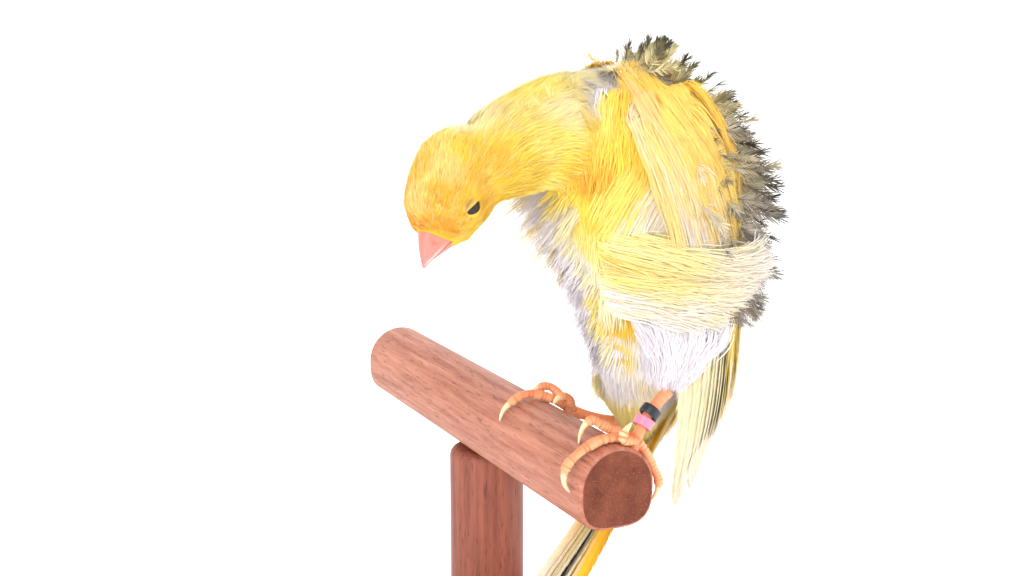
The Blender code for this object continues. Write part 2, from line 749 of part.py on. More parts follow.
def make_thigh(side):
    """The feathered upper leg, with locks that hang over one another down to the ankle."""
    rows = thigh_rows(side, 9)
    thigh = tube("thigh", rows[:, :3], rows[:, 3] * 0.85, rows[:, 3] * 0.85, (0, 1, 0), sides=12)
    locks = []
    for ring, along in enumerate((0.25, 0.52)):
        place = thigh_rows(side, 21)
        start, end = place[int(along * 20)], place[min(20, int(along * 20) + 7)]
        for k in range(4):
            turn = 2 * math.pi * (k + 0.5 * (ring % 2)) / 4
            way = np.array((math.cos(turn), math.sin(turn), 0.0))
            points = [start[:3] + way * (start[3] * 0.85 - 0.9),
                      start[:3] * 0.5 + end[:3] * 0.5 + way * (start[3] * 0.5 + end[3] * 0.5 + 0.4),
                      end[:3] + way * (end[3] + 0.7)]
            locks.append(vane("lock", points, way, [3.8, 4.4, 0.8], 0.8, 4))
    boolean(thigh, locks, "UNION", "MANIFOLD")
    drop(*locks)
    return thigh


# Head fittings

def eye_centre(side):
    along, up, out = EYE_PLACE
    return head_point(along, up, side * out)


BILL_BASE = 9.6                 # along the head
GAPE_DROP = 2.8                 # how far the mouth line bends down at its corner
NOSTRIL = (12.6, 1.9, 2.75, 0.5)        # along, up, to the side, radius


def make_bill(upper):
    """One half of the conical bill, with its cutting edge along the line of the mouth."""
    base, tip = BILL_BASE, BILL_TIP[0]
    rings = []
    for t in (0.0, 0.2, 0.4, 0.6, 0.8, 0.93, 1.0):
        along = base - 1.2 + (tip - base + 1.2) * t
        if not upper:
            along = base - 2.2 + (tip - 1.5 - base + 2.2) * t
        taper = (1 - t ** 1.55) * 0.96 + 0.04
        back = (tip - along) / (tip - base + 2.2)
        mouth = BILL_TIP[1] - back - GAPE_DROP * back ** 2.2
        ridge = BILL_TIP[1] - (1 - t) + 5.4 * taper + 0.35
        width = 4.3 * taper if upper else 3.9 * taper
        height = ridge - mouth if upper else 3.3 * taper + 0.2
        ring = []
        for k in range(7):
            turn = math.pi * k / 6
            up = height * math.sin(turn) ** 0.9
            out = width * math.cos(turn)
            ring.append(head_point(along, mouth + (up + GAP / 2) * (1 if upper else -1), out))
        rings.append(ring)
    return loft("bill", rings)


def cut_nostrils(bill):
    along, up, out, radius = NOSTRIL
    holes = [ball("hole", head_point(along, up, side * out), radius, 8, 5) for side in (-1, 1)]
    boolean(bill, holes, "DIFFERENCE")
    drop(*holes)


# Frills: long body feathers that part down the back, meet over the breast and sweep out
# from the flanks. Each is a lock with its root sunk in the trunk.

TORSO_LINE = smooth_rows(TORSO, 91)


def trunk_place(height, turn):
    """Point and outward normal on the trunk, at a height, turned from the back (0) towards
    the bird's left (90) and the breast (180)."""
    heights = TORSO_LINE[:, 1]
    x, deep, wide = (np.interp(height, heights, TORSO_LINE[:, k]) for k in (0, 2, 3))
    c, s = math.cos(math.radians(turn)), math.sin(math.radians(turn))
    below = np.interp(height - 1.5, heights, TORSO_LINE[:, 2])
    above = np.interp(height + 1.5, heights, TORSO_LINE[:, 2])
    normal = unit((c / deep, -s / wide, (below - above) / 3 / deep))
    return np.array((x + deep * c, MID_Y - wide * s, height)), normal


def frill(root, normal, lie, length, lift, width, flick=0.0, sink=1.8, thick=0.75):
    """A lock that leaves along its lie and curls off the body: lift is the share of its
    length that its tip stands off, flick turns the tip upwards."""
    lie = unit(lie - normal * np.dot(lie, normal))
    points = []
    for t in (0, 0.3, 0.65, 1.0):
        along = length * t * (1 - 0.35 * lift * t)
        off = length * lift * t ** 1.6 - sink * (1 - t) ** 3
        points.append(root + lie * along + normal * off + np.array((0, 0, flick * t * t)))
    faces = [unit(normal - lie * lift * 1.2 * t) for t in (0, 0.3, 0.65, 1.0)]
    widths = [width * 0.75, width, width * 0.9, width * 0.28]
    return vane("frill", points, faces, widths, thick, 4)


def mantle_frills():
    """Rows that part along the back, turn out to both sides and stand up at their ends."""
    draw = random.Random(4)
    locks = []
    for row, height in enumerate((120, 128, 136, 144, 152, 159)):
        for turn in ((-54, -18, 18, 54) if row % 2 else (-38, -8, 8, 38)):
            root, normal = trunk_place(height + draw.uniform(-1, 1), turn + draw.uniform(-3, 3))
            side = 1 if turn > 0 else -1
            lie = np.array((0.0, -side * 0.75, -0.75 + 0.09 * row))
            length = draw.uniform(15.5, 18.0) - 0.8 * max(0, row - 3)
            locks.append(frill(root, normal, lie, length, 0.84, 6.6, 0.7 * row - 1.5
                               + draw.uniform(0, 2)))
    for turn in (-66, -22, 22, 66):
        root, normal = trunk_place(165.0, turn)
        lie = np.array((math.cos(math.radians(turn)), -math.sin(math.radians(turn)), -0.2))
        locks.append(frill(root + (2, 0, 0), normal, lie, draw.uniform(10, 12), 0.62, 5.4))
    return locks


def breast_frills():
    """The jabot: locks from both sides sweep inwards and forwards to meet over the breast."""
    draw = random.Random(16)
    locks = []
    for row, height in enumerate((148, 141, 134, 127, 120)):
        for turn in (180 - 55, 180 - 18, 180 + 18, 180 + 55):
            root, normal = trunk_place(height + draw.uniform(-1, 1), turn + draw.uniform(-3, 3))
            side = 1 if turn > 180 else -1
            lie = np.array((-0.35, -side * 0.5, -0.9))
            inner = abs(turn - 180) < 30
            length = draw.uniform(15, 17) + (3 if inner else 0) - 0.8 * row
            lift = (0.66 if inner else 0.42) - 0.03 * row
            locks.append(frill(root, normal, lie, length, lift, 5.8))
    return locks


def belly_frills():
    draw = random.Random(7)
    locks = []
    for row, height in enumerate((107, 98, 89)):
        for turn in (180 - 50, 180 - 14, 180 + 22, 180 + 58):
            root, normal = trunk_place(height, turn - 8 * (row % 2))
            lie = np.array((0.15, 0.3 if turn < 180 else -0.3, -1.0))
            locks.append(frill(root, normal, lie, draw.uniform(10, 12) - 0.8 * row,
                               0.42 if row < 2 else 0.25, 4.8))
    return locks


def rump_frills():
    draw = random.Random(8)
    locks = []
    for height, turns in ((110, (-40, 0, 40)), (102, (-22, 22))):
        for turn in turns:
            root, normal = trunk_place(height, turn)
            lie = np.array((0.1, -0.3 * np.sign(turn), -1.0))
            locks.append(frill(root, normal, lie, draw.uniform(12, 14), 0.5, 5.2))
    return locks


FIN_LOCKS = 7
FIN_WAY = [  # line of the middle lock of the left fin: over the wing and up at its end
    (2.5, -66.0, 113.0), (8.0, -73.5, 110.5), (15.0, -78.2, 109.5), (24.0, -80.0, 111.5),
    (32.0, -79.4, 116.0)]


def fin_frills(side):
    """The flank's fin: long locks that sweep back over the wing and curl up."""
    draw = random.Random(9)
    locks = []
    for k in range(FIN_LOCKS):
        f = k / (FIN_LOCKS - 1) - 0.5
        reach = 1 - 0.22 * abs(f) * 2 + draw.uniform(-0.05, 0.05)
        points = []
        for i, (x, y, z) in enumerate(FIN_WAY):
            t = i / (len(FIN_WAY) - 1)
            x = FIN_WAY[0][0] + (x - FIN_WAY[0][0]) * reach
            y = y - 0.6 * (k % 2) * t
            z = z + f * (20 + 9 * t) + 2.0 * t * t
            points.append((x, y if side < 0 else 2 * MID_Y - y, z))
        out = np.array((0.0, side, 0.0))
        normals = [unit(out + np.array((-0.55 + 0.5 * t, 0, 0.2))) for t in (0, 0.25, 0.5, 0.75, 1)]
        locks.append(vane("fin", points, normals, [3.4, 4.2, 4.6, 3.6, 0.9], 0.8, 6))
    return locks


def eyelid(side):
    """The rim of the lids: a low ring round the eye."""
    centre = eye_centre(side)
    out = unit(HEAD_S * side + HEAD_C * 0.1 + HEAD_H * 0.15)
    across = unit(np.cross(out, HEAD_C))
    up = np.cross(across, out)
    bm = bmesh.new()
    loops = []
    for t in np.linspace(0, 2 * math.pi, 10, endpoint=False):
        way = across * math.cos(t) * 1.12 + up * math.sin(t) * 0.92
        middle = centre + out * LID_HEIGHT + way * (EYE_RADIUS * 0.98)
        loops.append([bm.verts.new(middle + (way * math.cos(a) + out * math.sin(a)) * LID_THICK)
                      for a in np.linspace(0, 2 * math.pi, 4, endpoint=False)])
    for i, loop in enumerate(loops):
        after = loops[(i + 1) % len(loops)]
        for k in range(4):
            n = (k + 1) % 4
            bm.faces.new((loop[k], loop[n], after[n], after[k]))
    return from_bmesh("lid", bm)


def fuse(obj, pieces, solver="MANIFOLD"):
    boolean(obj, pieces, "UNION", solver)
    drop(*pieces)
    return obj


def clear_of(obj, others, solver="MANIFOLD"):
    """Cuts obj back from the others by the gap."""
    grown = [swollen(other, GAP * 0.95) for other in others]
    boolean(obj, grown, "DIFFERENCE", solver)
    drop(*grown)
    return keep_largest(obj)


SLOTS = {
    "head": "plumage", "neck": "plumage", "breast": "plumage", "belly": "plumage_pale",
    "mantle": "mantle", "rump": "plumage", "flank_left": "plumage_pale",
    "flank_right": "plumage_pale", "wing_left": "flight", "wing_right": "flight",
    "tail": "flight", "thigh_left": "plumage_pale", "thigh_right": "plumage_pale",
    "shank_left": "skin", "shank_right": "skin", "foot_left": "skin", "foot_right": "skin",
    "eye_left": "eye", "eye_right": "eye", "bill_upper": "bill", "bill_lower": "bill",
    "ring_black": "ring_black", "ring_pink": "ring_pink", "perch": "wood",
    "stand_foot": "wood", "stand_post": "wood"}


def main():
    made = make_regions()
    core = {name: copy_of(obj) for name, obj in made.items()}
    made["tail"] = make_tail()
    made["perch"] = make_perch()
    made["stand_foot"], made["stand_post"] = make_stand_foot(), make_post()
    made["bill_upper"], made["bill_lower"] = make_bill(True), make_bill(False)
    for side, sign in (("left", -1), ("right", 1)):
        made["wing_" + side] = make_wing(sign)
        made["thigh_" + side] = make_thigh(side)
        made["shank_" + side] = make_shank(side)
        made["foot_" + side] = make_foot(side)
        made["eye_" + side] = ball("eye", eye_centre(-sign), EYE_RADIUS, 12, 7)
    for name, place in RING_PLACES:
        made[name] = make_ring("left", place)

    room = {"wing_left": wing_envelope(-1), "wing_right": wing_envelope(1), "tail": tail_envelope()}
    wings = [room["wing_left"], room["wing_right"]]
    thighs = [thigh_envelope("left"), thigh_envelope("right")]

    fuse(made["head"], [eyelid(1), eyelid(-1)], "EXACT")
    clear_of(made["head"], [made["eye_left"], made["eye_right"], made["bill_upper"],
                            made["bill_lower"]], "EXACT")
    cut_nostrils(made["bill_upper"])
    fuse(made["mantle"], mantle_frills())
    fuse(made["breast"], breast_frills())
    fuse(made["belly"], belly_frills())
    fuse(made["rump"], rump_frills())
    fuse(made["flank_left"], fin_frills(-1))
    fuse(made["flank_right"], fin_frills(1))
    bodies = ("head", "neck", "breast", "belly", "mantle", "rump", "flank_left", "flank_right")
    for name in bodies[2:]:
        others = [core[other] for other in bodies if other != name]
        boolean(made[name], wings + thighs + [room["tail"]], "DIFFERENCE", "MANIFOLD")
        clear_of(made[name], others)
    for side in LEGS:
        clear_of(made["thigh_" + side], [made["shank_" + side]])
        boolean(made["thigh_" + side], wings + [room["tail"]], "DIFFERENCE", "MANIFOLD")
        clear_of(made["foot_" + side], [made["perch"], made["shank_" + side]], "EXACT")
    drop(*room.values(), *core.values(), *thighs)
    for name, obj in made.items():
        finish(obj, name, SLOTS[name])


main()
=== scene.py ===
import math

import bmesh
import bpy
import numpy as np
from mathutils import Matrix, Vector, kdtree


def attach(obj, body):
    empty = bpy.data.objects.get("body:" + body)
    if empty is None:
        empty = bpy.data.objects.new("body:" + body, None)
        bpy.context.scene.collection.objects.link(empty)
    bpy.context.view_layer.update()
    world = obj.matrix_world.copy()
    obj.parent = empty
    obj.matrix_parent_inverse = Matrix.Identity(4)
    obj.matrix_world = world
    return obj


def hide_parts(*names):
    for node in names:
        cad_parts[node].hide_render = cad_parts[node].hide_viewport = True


# Frilled canary on its perch. Shapes are worked out in millimetres and made in metres.
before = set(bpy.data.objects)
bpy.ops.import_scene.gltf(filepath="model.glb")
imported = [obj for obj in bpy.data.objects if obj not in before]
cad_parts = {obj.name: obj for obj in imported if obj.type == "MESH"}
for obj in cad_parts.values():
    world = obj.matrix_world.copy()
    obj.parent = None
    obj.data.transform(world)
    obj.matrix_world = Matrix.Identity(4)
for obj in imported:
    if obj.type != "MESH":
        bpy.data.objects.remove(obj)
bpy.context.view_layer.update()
mm = 0.001
midY = -50.5                    # plane of symmetry of the trunk
coatDepth = 0.9                 # how far the skin lies inside the solids


# Small vector tools

def unit(v):
    v = np.asarray(v, float)
    return v / np.maximum(np.linalg.norm(v, axis=-1, keepdims=True), 1e-9)


def smoothRows(rows, count):
    rows = np.array(rows, float)
    out = []
    for t in np.linspace(0, len(rows) - 1, count):
        i = min(int(t), len(rows) - 2)
        f = t - i
        p0, p1, p2, p3 = (rows[min(max(k, 0), len(rows) - 1)] for k in range(i - 1, i + 3))
        out.append(0.5 * (2 * p1 + (p2 - p0) * f + (2 * p0 - 5 * p1 + 4 * p2 - p3) * f * f
                          + (3 * p1 - p0 - 3 * p2 + p3) * f ** 3))
    return np.array(out)


def mirrored(points):
    # the same points on the other side of the trunk's plane
    return points * (1, -1, 1) + (0, 2 * midY, 0)


def step(low, high, x):
    t = np.clip((np.asarray(x, float) - low) / (high - low), 0, 1)
    return t * t * (3 - 2 * t)


def mix(a, b, f):
    f = np.asarray(f, float)
    f = f[..., None] if f.ndim else f
    return np.asarray(a, float) * (1 - f) + np.asarray(b, float) * f


def tone(code):
    # a colour code, made linear
    c = np.array([int(code[i:i + 2], 16) / 255 for i in (0, 2, 4)])
    return np.where(c <= 0.04045, c / 12.92, ((c + 0.055) / 1.055) ** 2.4)


tones = {
    "golden": tone("F3C348"), "forehead": tone("F3AE33"), "crown": tone("F9E08A"),
    "cheek": tone("EBBB48"), "yellow": tone("FAD956"), "lemon": tone("F8E681"),
    "orange": tone("FAB246"), "amber": tone("FCC84E"), "cream": tone("F0E2B0"),
    "pale": tone("F0E6BE"), "white": tone("ECE7EC"), "lavender": tone("DDD5DF"),
    "grey": tone("C4BABA"), "bone": tone("E3DBC4"), "beige": tone("D2BF88"),
    "straw": tone("DCC05C"), "dark": tone("2C2520"), "brown": tone("6A5034"), "gold": tone("EBB63C"),
    "tan": tone("CFA878"), "tailYellow": tone("F2B92C")}


# Materials

class Socket:
    # A number in a shader: + - * and ** add Math nodes.

    def __init__(self, maker, link):
        self.maker = maker
        self.link = link

    def sum(self, kind, a, b):
        return Socket(self.maker, self.maker.node(
            "ShaderNodeMath", {"operation": kind}, {0: a, 1: b}).outputs[0])

    def __add__(self, other):
        return self.sum("ADD", self, other)

    def __radd__(self, other):
        return self.sum("ADD", other, self)

    def __sub__(self, other):
        return self.sum("SUBTRACT", self, other)

    def __rsub__(self, other):
        return self.sum("SUBTRACT", other, self)

    def __mul__(self, other):
        return self.sum("MULTIPLY", self, other)

    def __rmul__(self, other):
        return self.sum("MULTIPLY", other, self)

    def __pow__(self, other):
        return self.sum("POWER", self, other)

    def clamp(self, low, high):
        return self.sum("MINIMUM", self.sum("MAXIMUM", self, low), high)


class Maker:
    # Builds one material's nodes.

    def __init__(self, name, roughness, **fixed):
        self.material = bpy.data.materials.new(name)
        self.material.use_nodes = True
        self.tree = self.material.node_tree
        self.shader = self.tree.nodes["Principled BSDF"]
        self.shader.inputs["Roughness"].default_value = roughness
        for key, value in fixed.items():
            self.shader.inputs[key.replace("_", " ")].default_value = value

    def node(self, kind, settings=None, values=None):
        made = self.tree.nodes.new(kind)
        for key, value in (settings or {}).items():
            if key == "stops":
                ramp = made.color_ramp
                while len(ramp.elements) < len(value):
                    ramp.elements.new(0.5)
                for element, (place, colour) in zip(ramp.elements, value):
                    element.position = place
                    element.color = (*colour, 1)
            else:
                setattr(made, key, value)
        for key, value in (values or {}).items():
            value = value.link if isinstance(value, Socket) else value
            if isinstance(value, bpy.types.NodeSocket):
                self.tree.links.new(value, made.inputs[key])
            else:
                made.inputs[key].default_value = value
        return made

    def number(self, kind, settings=None, values=None, output=0):
        return Socket(self, self.node(kind, settings, values).outputs[output])

    def place(self):
        return self.node("ShaderNodeTexCoord").outputs["Object"]

    def stretched(self, scale):
        return self.node("ShaderNodeMapping", None,
                         {"Vector": self.place(), "Scale": scale}).outputs["Vector"]

    def noise(self, where, scale, detail=3.0, rough=0.55):
        return self.number("ShaderNodeTexNoise", None, {
            "Vector": where, "Scale": scale, "Detail": detail, "Roughness": rough}, "Fac")

    def blend(self, factor, a, b, kind="MIX"):
        return self.node("ShaderNodeMix", {"data_type": "RGBA", "blend_type": kind},
                         {0: factor, 6: a, 7: b}).outputs[2]

    def tint(self):
        return self.node("ShaderNodeVertexColor", {"layer_name": "tint"}).outputs["Color"]

    def feed(self, socket, value):
        value = value.link if isinstance(value, Socket) else value
        self.tree.links.new(value, self.shader.inputs[socket])

    def bump(self, height, strength, distance):
        made = self.node("ShaderNodeBump", None, {
            "Strength": strength, "Distance": distance, "Height": height})
        self.feed("Normal", made.outputs["Normal"])


def four(colour):
    return (*[float(c) for c in colour], 1.0)


def makePlumage(name, roughness, scale):
    # Feather colour comes from each strand, broken up a little by noise.
    m = Maker(name, roughness, Specular_IOR_Level=0.12)
    fleck = m.noise(m.place(), scale)
    m.feed("Base Color", m.blend(fleck * 0.4, m.tint(), m.blend(
        1.0, m.tint(), four((0.9, 0.87, 0.82)), "MULTIPLY")))
    return m.material


def makeSkinLook():
    m = Maker("plumageSkin", 0.85, Specular_IOR_Level=0.15)
    down = m.noise(m.place(), 900, 4)
    m.feed("Base Color", m.blend(down * 0.4, m.tint(), m.blend(
        1.0, m.tint(), four((0.8, 0.78, 0.74)), "MULTIPLY")))
    m.bump(down, 0.5, 0.0004)
    return m.material


def makeScaly(name, roughness, scale):
    m = Maker(name, roughness, Subsurface_Weight=0.12, Subsurface_Scale=0.002)
    fine = m.noise(m.place(), scale, 4)
    m.feed("Base Color", m.blend((fine - 0.35) * 0.9, m.tint(), m.blend(
        1.0, m.tint(), four((0.92, 0.72, 0.6)), "MULTIPLY")))
    m.bump(fine, 0.25, 0.0002)
    return m.material


def makeHorn():
    m = Maker("billHorn", 0.38, Subsurface_Weight=0.15, Subsurface_Scale=0.002,
              Coat_Weight=0.15, Coat_Roughness=0.25)
    lines = m.noise(m.stretched((1400, 1400, 260)), 1.0, 3)
    m.feed("Base Color", m.blend((lines - 0.4) * 0.3, m.tint(), four(tone("F0A9A4"))))
    m.bump(lines, 0.12, 0.0001)
    return m.material


def makeEyeLook():
    m = Maker("eyeGlass", 0.16, Specular_IOR_Level=0.35)
    cloud = m.noise(m.place(), 500, 2)
    m.feed("Base Color", m.blend(cloud, four((0.010, 0.007, 0.006)), four((0.03, 0.018, 0.012))))
    return m.material


def makeRingLook(name, colour, dark):
    m = Maker(name, 0.34, Coat_Weight=0.25, Coat_Roughness=0.2)
    worn = m.noise(m.place(), 1100, 4)
    m.feed("Base Color", m.blend(worn * 0.5, four(colour), four(dark)))
    m.feed("Roughness", 0.26 + worn * 0.2)
    m.bump(worn, 0.1, 0.0001)
    return m.material


def makeWood(name, light, deep, along, roughness=0.5):
    # Turned hardwood: long fibres and short dark pores along the grain.
    m = Maker(name, roughness, Specular_IOR_Level=0.35)
    fibres = m.noise(m.stretched([30 if k == along else 520 for k in range(3)]), 1.0, 6, 0.7)
    broad = m.noise(m.stretched([6 if k == along else 60 for k in range(3)]), 1.0, 3)
    pores = m.noise(m.stretched([210 if k == along else 1900 for k in range(3)]), 1.0, 2)
    pore = ((pores - 0.58) * 9).clamp(0, 1)
    base = m.blend((fibres * 2.6 - 0.8).clamp(0, 1), four(light), four(deep))
    base = m.blend(broad * 0.3, base, four(tone("C47E66")))
    m.feed("Base Color", m.blend(pore * 0.55, base, four(tone("4A2418"))))
    m.feed("Roughness", roughness - 0.1 + fibres * 0.2)
    m.bump(fibres - pore * 0.6, 0.3, 0.00025)
    return m.material


def makeEndGrain():
    m = Maker("endGrain", 0.72, Specular_IOR_Level=0.2)
    coarse = m.noise(m.place(), 210, 4)
    fine = m.noise(m.place(), 2300, 3)
    base = m.blend((coarse * 1.6 - 0.4).clamp(0, 1), four(tone("5A2A1E")), four(tone("8C4E38")))
    m.feed("Base Color", m.blend(((fine - 0.55) * 5).clamp(0, 1) * 0.7, base, four(tone("A96A50"))))
    m.bump(fine + coarse * 0.5, 0.4, 0.0003)
    return m.material


looks = {
    "skin": makeSkinLook(),
    "down": makePlumage("plumageSoft", 0.78, 700),
    "vane": makePlumage("plumageVane", 0.6, 350),
    "scaly": makeScaly("legSkin", 0.5, 1500),
    "bill": makeHorn(),
    "eye": makeEyeLook(),
    "black": makeRingLook("ringBlack", tone("141824"), tone("2A3040")),
    "pink": makeRingLook("ringPink", tone("D9799A"), tone("E39AB2")),
    "perch": makeWood("perchWood", tone("C6856B"), tone("864531"), 1),
    "post": makeWood("postWood", tone("9C523C"), tone("602A1D"), 2),
    "foot": makeWood("footWood", tone("9C523C"), tone("602A1D"), 1),
    "endGrain": makeEndGrain()}
print("materials ready")


# Mesh tools

def finishPiece(name, points, faces, look, replaced=(), tints=None, uvs=None, smooth=True,
                slots=None, faceSlots=None):
    # Makes one piece from millimetre points and gives it its place in the frame.
    mesh = bpy.data.meshes.new(name)
    points = np.asarray(points, np.float32) * mm
    counts = np.array([len(f) for f in faces], np.int32) if not isinstance(faces, np.ndarray) \
        else np.full(len(faces), faces.shape[1], np.int32)
    flat = faces.reshape(-1) if isinstance(faces, np.ndarray) else np.concatenate(
        [np.asarray(f) for f in faces])
    mesh.vertices.add(len(points))
    mesh.vertices.foreach_set("co", points.reshape(-1))
    mesh.loops.add(len(flat))
    mesh.loops.foreach_set("vertex_index", flat.astype(np.int32))
    mesh.polygons.add(len(counts))
    starts = np.concatenate([[0], np.cumsum(counts)[:-1]]).astype(np.int32)
    mesh.polygons.foreach_set("loop_start", starts)
    mesh.polygons.foreach_set("loop_total", counts)
    if tints is not None:
        layer = mesh.color_attributes.new("tint", "FLOAT_COLOR", "POINT")
        full = np.ones((len(points), 4), np.float32)
        full[:, :3] = tints
        layer.data.foreach_set("color", full.reshape(-1))
    if uvs is not None:
        layer = mesh.uv_layers.new(name="OFBake")
        layer.data.foreach_set("uv", np.asarray(uvs, np.float32)[flat].reshape(-1))
    mesh.update(calc_edges=True)
    mesh.validate()
    for made in (slots or [look]):
        mesh.materials.append(looks[made])
    if faceSlots is not None:
        mesh.polygons.foreach_set("material_index", np.asarray(faceSlots, np.int32))
    if smooth:
        mesh.shade_smooth()
    piece = bpy.data.objects.new(name, mesh)
    bpy.context.scene.collection.objects.link(piece)
    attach(piece, "root")
    for node in replaced:
        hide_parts(node)
    return piece


def ribbons(paths, normals, widths, tintRoot, tintTip, uv, shape=None, tintMid=None):
    # flat strands that narrow to a point: paths are N x K x 3
    n, k = paths.shape[:2]
    run = np.empty_like(paths)
    run[:, 1:-1] = paths[:, 2:] - paths[:, :-2]
    run[:, 0] = paths[:, 1] - paths[:, 0]
    run[:, -1] = paths[:, -1] - paths[:, -2]
    if normals.ndim == 2:
        normals = np.repeat(normals[:, None], k, 1)
    across = unit(np.cross(unit(run), normals))
    t = np.linspace(0, 1, k)
    if shape is None:
        shape = 0.55 + 0.45 * np.sin(np.clip(t * 2.2, 0, 1) * math.pi / 2)
        shape = shape * (1 - 0.45 * t ** 2)
    half = widths[:, None, None] * shape[None, :, None] / 2
    left = paths - across * half
    right = paths + across * half
    pts = np.concatenate([np.stack([left[:, :-1], right[:, :-1]], 2).reshape(n, -1, 3),
                          paths[:, -1:]], 1)
    per = 2 * (k - 1) + 1
    base = (np.arange(n) * per)[:, None]
    tris = []
    for j in range(k - 2):
        a = 2 * j
        tris.append(np.stack([base[:, 0] + a, base[:, 0] + a + 1, base[:, 0] + a + 3], 1))
        tris.append(np.stack([base[:, 0] + a, base[:, 0] + a + 3, base[:, 0] + a + 2], 1))
    a = 2 * (k - 2)
    tris.append(np.stack([base[:, 0] + a, base[:, 0] + a + 1, base[:, 0] + a + 2], 1))
    faces = np.concatenate(tris)
    f = np.concatenate([np.repeat(t[:-1], 2), t[-1:]])[None, :, None]
    tints = tintRoot[:, None] * (1 - f) + tintTip[:, None] * f
    if tintMid is not None:
        middle = 1 - np.abs(2 * f - 1)
        tints = tints * (1 - middle) + tintMid[:, None] * middle
    spots = np.zeros((n, per, 2))
    spots[:, :, 0] = np.concatenate([np.tile([-0.0008, 0.0008], k - 1), [0.0]])[None]
    spots[:, :, 1] = (np.concatenate([np.repeat(t[:-1], 2), t[-1:]])[None] - 0.5) * 0.0026
    uvs = uv[:, None] + spots
    return pts.reshape(-1, 3), faces, tints.reshape(-1, 3), uvs.reshape(-1, 2)


def gather(parts):
    # Joins the outputs of ribbons and other point, face, tint and map sets.
    points, faces, tints, uvs, start = [], [], [], [], 0
    for p, f, c, u in parts:
        points.append(p)
        faces.append(f + start)
        tints.append(c)
        uvs.append(u)
        start += len(p)
    return np.concatenate(points), np.concatenate(faces), np.concatenate(tints), np.concatenate(uvs)


def tubeRings(centres, depths, widths, side, sides):
    centres = np.array(centres, float)
    rings = []
    for i, centre in enumerate(centres):
        run = unit(centres[min(i + 1, len(centres) - 1)] - centres[max(i - 1, 0)])
        across = unit(np.array(side, float) - run * np.dot(side, run))
        deep = np.cross(run, across)
        turns = np.linspace(0, 2 * math.pi, sides, endpoint=False)
        rings.append([centre + deep * depths[i] * math.cos(t) + across * widths[i] * math.sin(t)
                      for t in turns])
    return np.array(rings)


def skinned(rings, closed=True):
    # Faces over rings of equal size, with a fan on each end.
    rings = np.asarray(rings, float)
    count, sides = rings.shape[:2]
    points = rings.reshape(-1, 3)
    faces = []
    for i in range(count - 1):
        for k in range(sides):
            n = (k + 1) % sides
            a, b = i * sides, (i + 1) * sides
            faces.append((a + k, a + n, b + n))
            faces.append((a + k, b + n, b + k))
    if closed:
        for i in (0, count - 1):
            points = np.vstack([points, rings[i].mean(0)])
            top = len(points) - 1
            for k in range(sides):
                n = (k + 1) % sides
                pair = (i * sides + k, i * sides + n)
                faces.append((pair[1], pair[0], top) if i == 0 else (*pair, top))
    return points, np.array(faces)


# Body measures, the same as the solids'

body = {
    "torso": [  # centre x, height, half depth, half width
        (17.5, 75.0, 2.5, 3.5), (18.5, 80.0, 6.0, 7.5), (20.5, 91.0, 11.5, 13.0),
        (22.0, 104.0, 15.5, 16.5), (21.0, 118.0, 18.5, 18.5), (18.5, 132.0, 22.0, 20.3),
        (15.5, 144.0, 22.0, 20.3), (12.5, 155.0, 19.0, 17.5), (11.0, 162.5, 12.5, 11.5),
        (10.5, 166.5, 4.5, 4.5)],
    "neck": [  # centre x, y, z, half depth, half width
        (12, -50.5, 146, 14, 14), (4, -51, 150, 15, 14.5), (-6, -52.2, 151, 13.8, 13.4),
        (-15, -53.8, 149.5, 12, 11.8), (-23, -55.5, 146.5, 10.8, 10.6), (-29, -56.4, 143, 9, 9)],
    "head": [  # along the head, offset towards the crown, half height, half width
        (-11, -0.6, 8.0, 7.4), (-6, -0.2, 11.2, 9.2), (0, 0.0, 11.7, 9.2), (5, 0.0, 10.6, 8.4),
        (9, -0.6, 8.4, 6.8), (11.5, -0.9, 6.2, 5.0), (13, -1.0, 3.8, 3.0)],
    "headCentre": (-34.8, -56.8, 139.5),
    "headForward": (-0.460, -0.2396, -0.855),
    "headUp": (-0.790, -0.329, 0.5176)}
headForward = unit(body["headForward"])
headUp = unit(np.array(body["headUp"]) - headForward * np.dot(body["headUp"], headForward))
headSide = np.cross(headUp, headForward)      # towards the bird's left
headCentre = np.array(body["headCentre"])
torsoLine = smoothRows(body["torso"], 91)


def headPoint(along, up, side):
    return headCentre + headForward * along + headUp * up + headSide * side


def headPlace(points):
    # Along, up and to the side of the head, for points.
    d = np.asarray(points) - headCentre
    return d @ headForward, d @ headUp, d @ headSide


def trunkPlace(height, turn):
    # Point and outward normal on the trunk, turned from the back (0) to the left (90).
    x, deep, wide = (np.interp(height, torsoLine[:, 1], torsoLine[:, k]) for k in (0, 2, 3))
    c, s = math.cos(math.radians(turn)), math.sin(math.radians(turn))
    below = np.interp(height - 1.5, torsoLine[:, 1], torsoLine[:, 2])
    above = np.interp(height + 1.5, torsoLine[:, 1], torsoLine[:, 2])
    normal = unit((c / deep, -s / wide, (below - above) / 3 / deep))
    return np.array((x + deep * c, midY - wide * s, height)), normal


legs = {
    "left": {"line": ((22.0, -61.5, 109.0), (21.2, -64.6, 100.0), (18.8, -66.2, 94.0),
                      (17.0, -67.0, 90.4), (10.2, -68.0, 84.4), (6.4, -68.9, 78.3)),
             "radii": (8.5, 6.2, 4.2, 2.2)},
    "right": {"line": ((22.0, -39.5, 109.0), (18.5, -41.0, 96.0), (17.2, -41.5, 86.0),
                       (22.0, -38.5, 74.0), (15.5, -36.0, 75.2), (9.2, -32.8, 77.2)),
              "radii": (8.5, 6.6, 5.6, 2.2)}}


def thighRows(side, count):
    leg = legs[side]
    return smoothRows([(*p, r) for p, r in zip(leg["line"], leg["radii"])], count)


